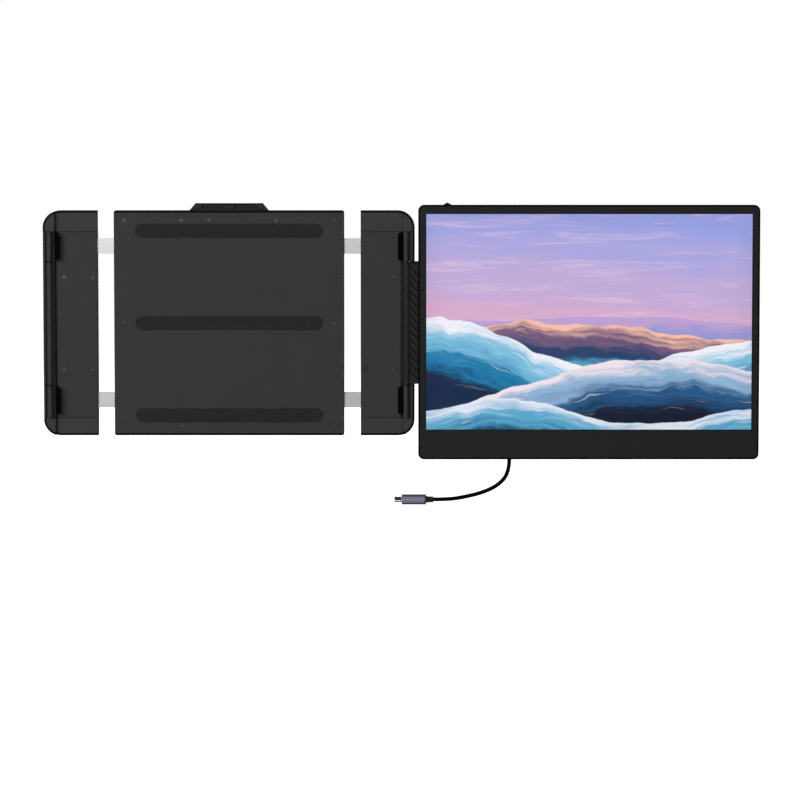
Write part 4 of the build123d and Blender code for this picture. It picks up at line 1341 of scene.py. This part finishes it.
@dataclass
class Cord(SubAssembly):
    """The short cord between the monitor's socket and the laptop's, with its two plugs.

    Its route is a list of places from where it starts, in millimetres.
    """

    body: str = "monitor"
    start: Point = (255.4 * MM, 15.9 * MM, -121.0 * MM)
    radius: float = 1.85 * MM
    length: float = 99.1 * MM
    route_mm: tuple[Point, ...] = (
        (0.0, 0.0, 0.0),
        (0.0, 0.0, -9.0),
        (-2.8, -3.7, -19.8),
        (-11.2, -10.9, -27.7),
        (-24.4, -19.4, -33.0),
        (-39.4, -26.9, -36.0),
        (-54.9, -32.9, -38.1),
        (-70.0, -32.9, -38.1),
    )
    plug_round: float = 2.1 * MM
    plug_band: float = 2.0 * MM
    plug_tips: tuple[tuple[str, int, float, bool], ...] = (
        ("monitor_plug", 2, -92.2 * MM, True),
        ("laptop_plug", 0, 156.65 * MM, False),
    )

    def build(self) -> None:
        """Lays the jacket along its route and dresses the plugs."""
        shell = screen_colour(136, 132, 155)
        for name, *tip in self.plug_tips:
            # Painted shade along each plug's outline.
            rim = Rim((name,), self.plug_round, self.plug_band, strength=0.7)
            self.dress(**{name: PlugShell(f"{name}_shell", shell, rim, *tip)})
        self.dress(monitor_relief=RELIEF, laptop_relief=RELIEF)
        line = bpy.data.curves.new("cord_jacket", "CURVE")
        line.dimensions = "3D"
        line.bevel_depth = self.radius
        line.bevel_resolution = 7
        line.resolution_u = 24
        line.use_fill_caps = True
        spline = line.splines.new("NURBS")
        spline.points.add(len(self.route_mm) - 1)
        for point, step in zip(spline.points, self.route_mm):
            point.co = (*(Vector(self.start) + Vector([part * MM for part in step])), 1.0)
        spline.order_u = 3
        spline.use_endpoint_u = True
        line.materials.append(JACKET.material())
        jacket = add_object("cord_jacket", line)
        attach(jacket, self.body)
        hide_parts("cord")
        LOG.info("cord_jacket: %s on %s", JACKET.label, self.body)


# ------------ studio


@dataclass(frozen=True)
class SoftBox:
    """One rectangular studio light."""

    label: str
    place: Point
    size: Pair
    power: float
    mirrored: bool = True

    def build(self, target: Point) -> None:
        """Hangs the light and turns it to a target.

        Args:
            target: The point it faces.
        """
        data = bpy.data.lights.new(self.label, "AREA")
        data.shape = "RECTANGLE"
        data.size, data.size_y = self.size
        data.energy = self.power
        lamp = add_object(self.label, data)
        lamp.location = self.place
        aim = Vector(target) - Vector(self.place)
        lamp.rotation_euler = aim.to_track_quat("-Z", "Y").to_euler()
        lamp.visible_camera = False
        lamp.visible_glossy = self.mirrored


@dataclass
class Studio:
    """Camera, lights, surroundings and a pale floor."""

    aim: Point = (155.2 * MM, 0.0, -70.0 * MM)
    distance: float = 3.4
    elevation: float = math.radians(4.45)
    lens: float = 168.1
    sensor: float = 36.0
    floor_level: float = -165.2 * MM
    floor_radius: float = 2.4
    floor_fade: Pair = (0.5, 2.2)
    ambient: float = 0.06
    target: Point = (0.155, 0.0, -0.02)
    lights: tuple[SoftBox, ...] = (
        SoftBox("key_light", (-1.0, -3.1, 0.7), (2.6, 1.6), 100.0),
        SoftBox("back_light", (0.3, 3.1, 0.55), (2.8, 1.5), 130.0, mirrored=False),
        SoftBox("left_fill", (-2.7, 0.9, 0.6), (1.4, 1.4), 220.0, mirrored=False),
        SoftBox("right_fill", (3.0, 0.9, 0.6), (1.4, 1.4), 220.0, mirrored=False),
    )

    def build(self) -> None:
        """Sets up the whole studio."""
        self.add_camera()
        self.add_surroundings()
        self.add_floor()
        for light in self.lights:
            light.build(self.target)
        bpy.context.scene.view_settings.view_transform = "Standard"

    def add_camera(self) -> None:
        """Places the camera in front of the extender, looking slightly down."""
        data = bpy.data.cameras.new("camera")
        data.lens, data.sensor_width = self.lens, self.sensor
        data.clip_start, data.clip_end = 0.1, 50.0
        camera = add_object("camera", data)
        back = Vector((0.0, -math.cos(self.elevation), math.sin(self.elevation)))
        camera.location = Vector(self.aim) + back * self.distance
        camera.rotation_euler = (-back).to_track_quat("-Z", "Y").to_euler()
        bpy.context.scene.camera = camera

    def add_surroundings(self) -> None:
        """White behind everything, and dim soft light from all round."""
        world = bpy.data.worlds.new("studio")
        world.use_nodes = True
        graph = Graph(world.node_tree)
        dim = graph.add("ShaderNodeBackground", {}, {"Color": WHITE, "Strength": self.ambient})
        white = graph.add("ShaderNodeBackground", {}, {"Color": WHITE, "Strength": 1.0})
        seen = graph.add("ShaderNodeLightPath").outputs["Is Camera Ray"]
        both = graph.add("ShaderNodeMixShader", {}, {0: seen, 1: dim.outputs[0], 2: white.outputs[0]})
        graph.add("ShaderNodeOutputWorld", {}, {"Surface": both.outputs[0]})
        bpy.context.scene.world = world

    def add_floor(self) -> None:
        """A pale round floor that fades into the white behind it."""
        mesh = bmesh.new()
        bmesh.ops.create_circle(mesh, cap_ends=True, radius=self.floor_radius, segments=128)
        data = bpy.data.meshes.new("floor")
        mesh.to_mesh(data)
        mesh.free()
        material = bpy.data.materials.new("studio_floor")
        material.use_nodes = True
        graph = Graph(material.node_tree)
        x, y, _ = graph.axes()
        away = x.hypot(y)
        paper = graph.noise(30.0, 3.0, 0.5)
        shader = graph.add(
            "ShaderNodeBsdfPrincipled",
            {},
            {
                "Base Color": graph.scaled((0.4, 0.4, 0.4), 0.98 + paper * 0.04),
                "Roughness": 0.8,
                "Specular IOR Level": 0.0,
                "Emission Color": WHITE,
                "Emission Strength": 0.76,
            },
        )
        clear = graph.add("ShaderNodeBsdfTransparent")
        fade = away.rise(*self.floor_fade)
        both = graph.add("ShaderNodeMixShader", {}, {0: fade, 1: shader.outputs[0], 2: clear.outputs[0]})
        graph.add("ShaderNodeOutputMaterial", {}, {"Surface": both.outputs[0]})
        data.materials.append(material)
        floor = add_object("floor", data)
        floor.location = (self.aim[0], 0.0, self.floor_level)
        floor.visible_diffuse = floor.visible_glossy = False


def main() -> None:
    """Builds the studio and every sub-assembly."""
    logging.basicConfig(level=logging.INFO, format="%(name)s %(message)s")
    arms = [Arm(side=side) for side in Side]
    for part in (Studio(), Cord(), CentreFrame(), *arms, Kickstand(), HingePlate(), Monitor()):
        part.build()
    bpy.context.view_layer.update()


if __name__ == "__main__":
    main()
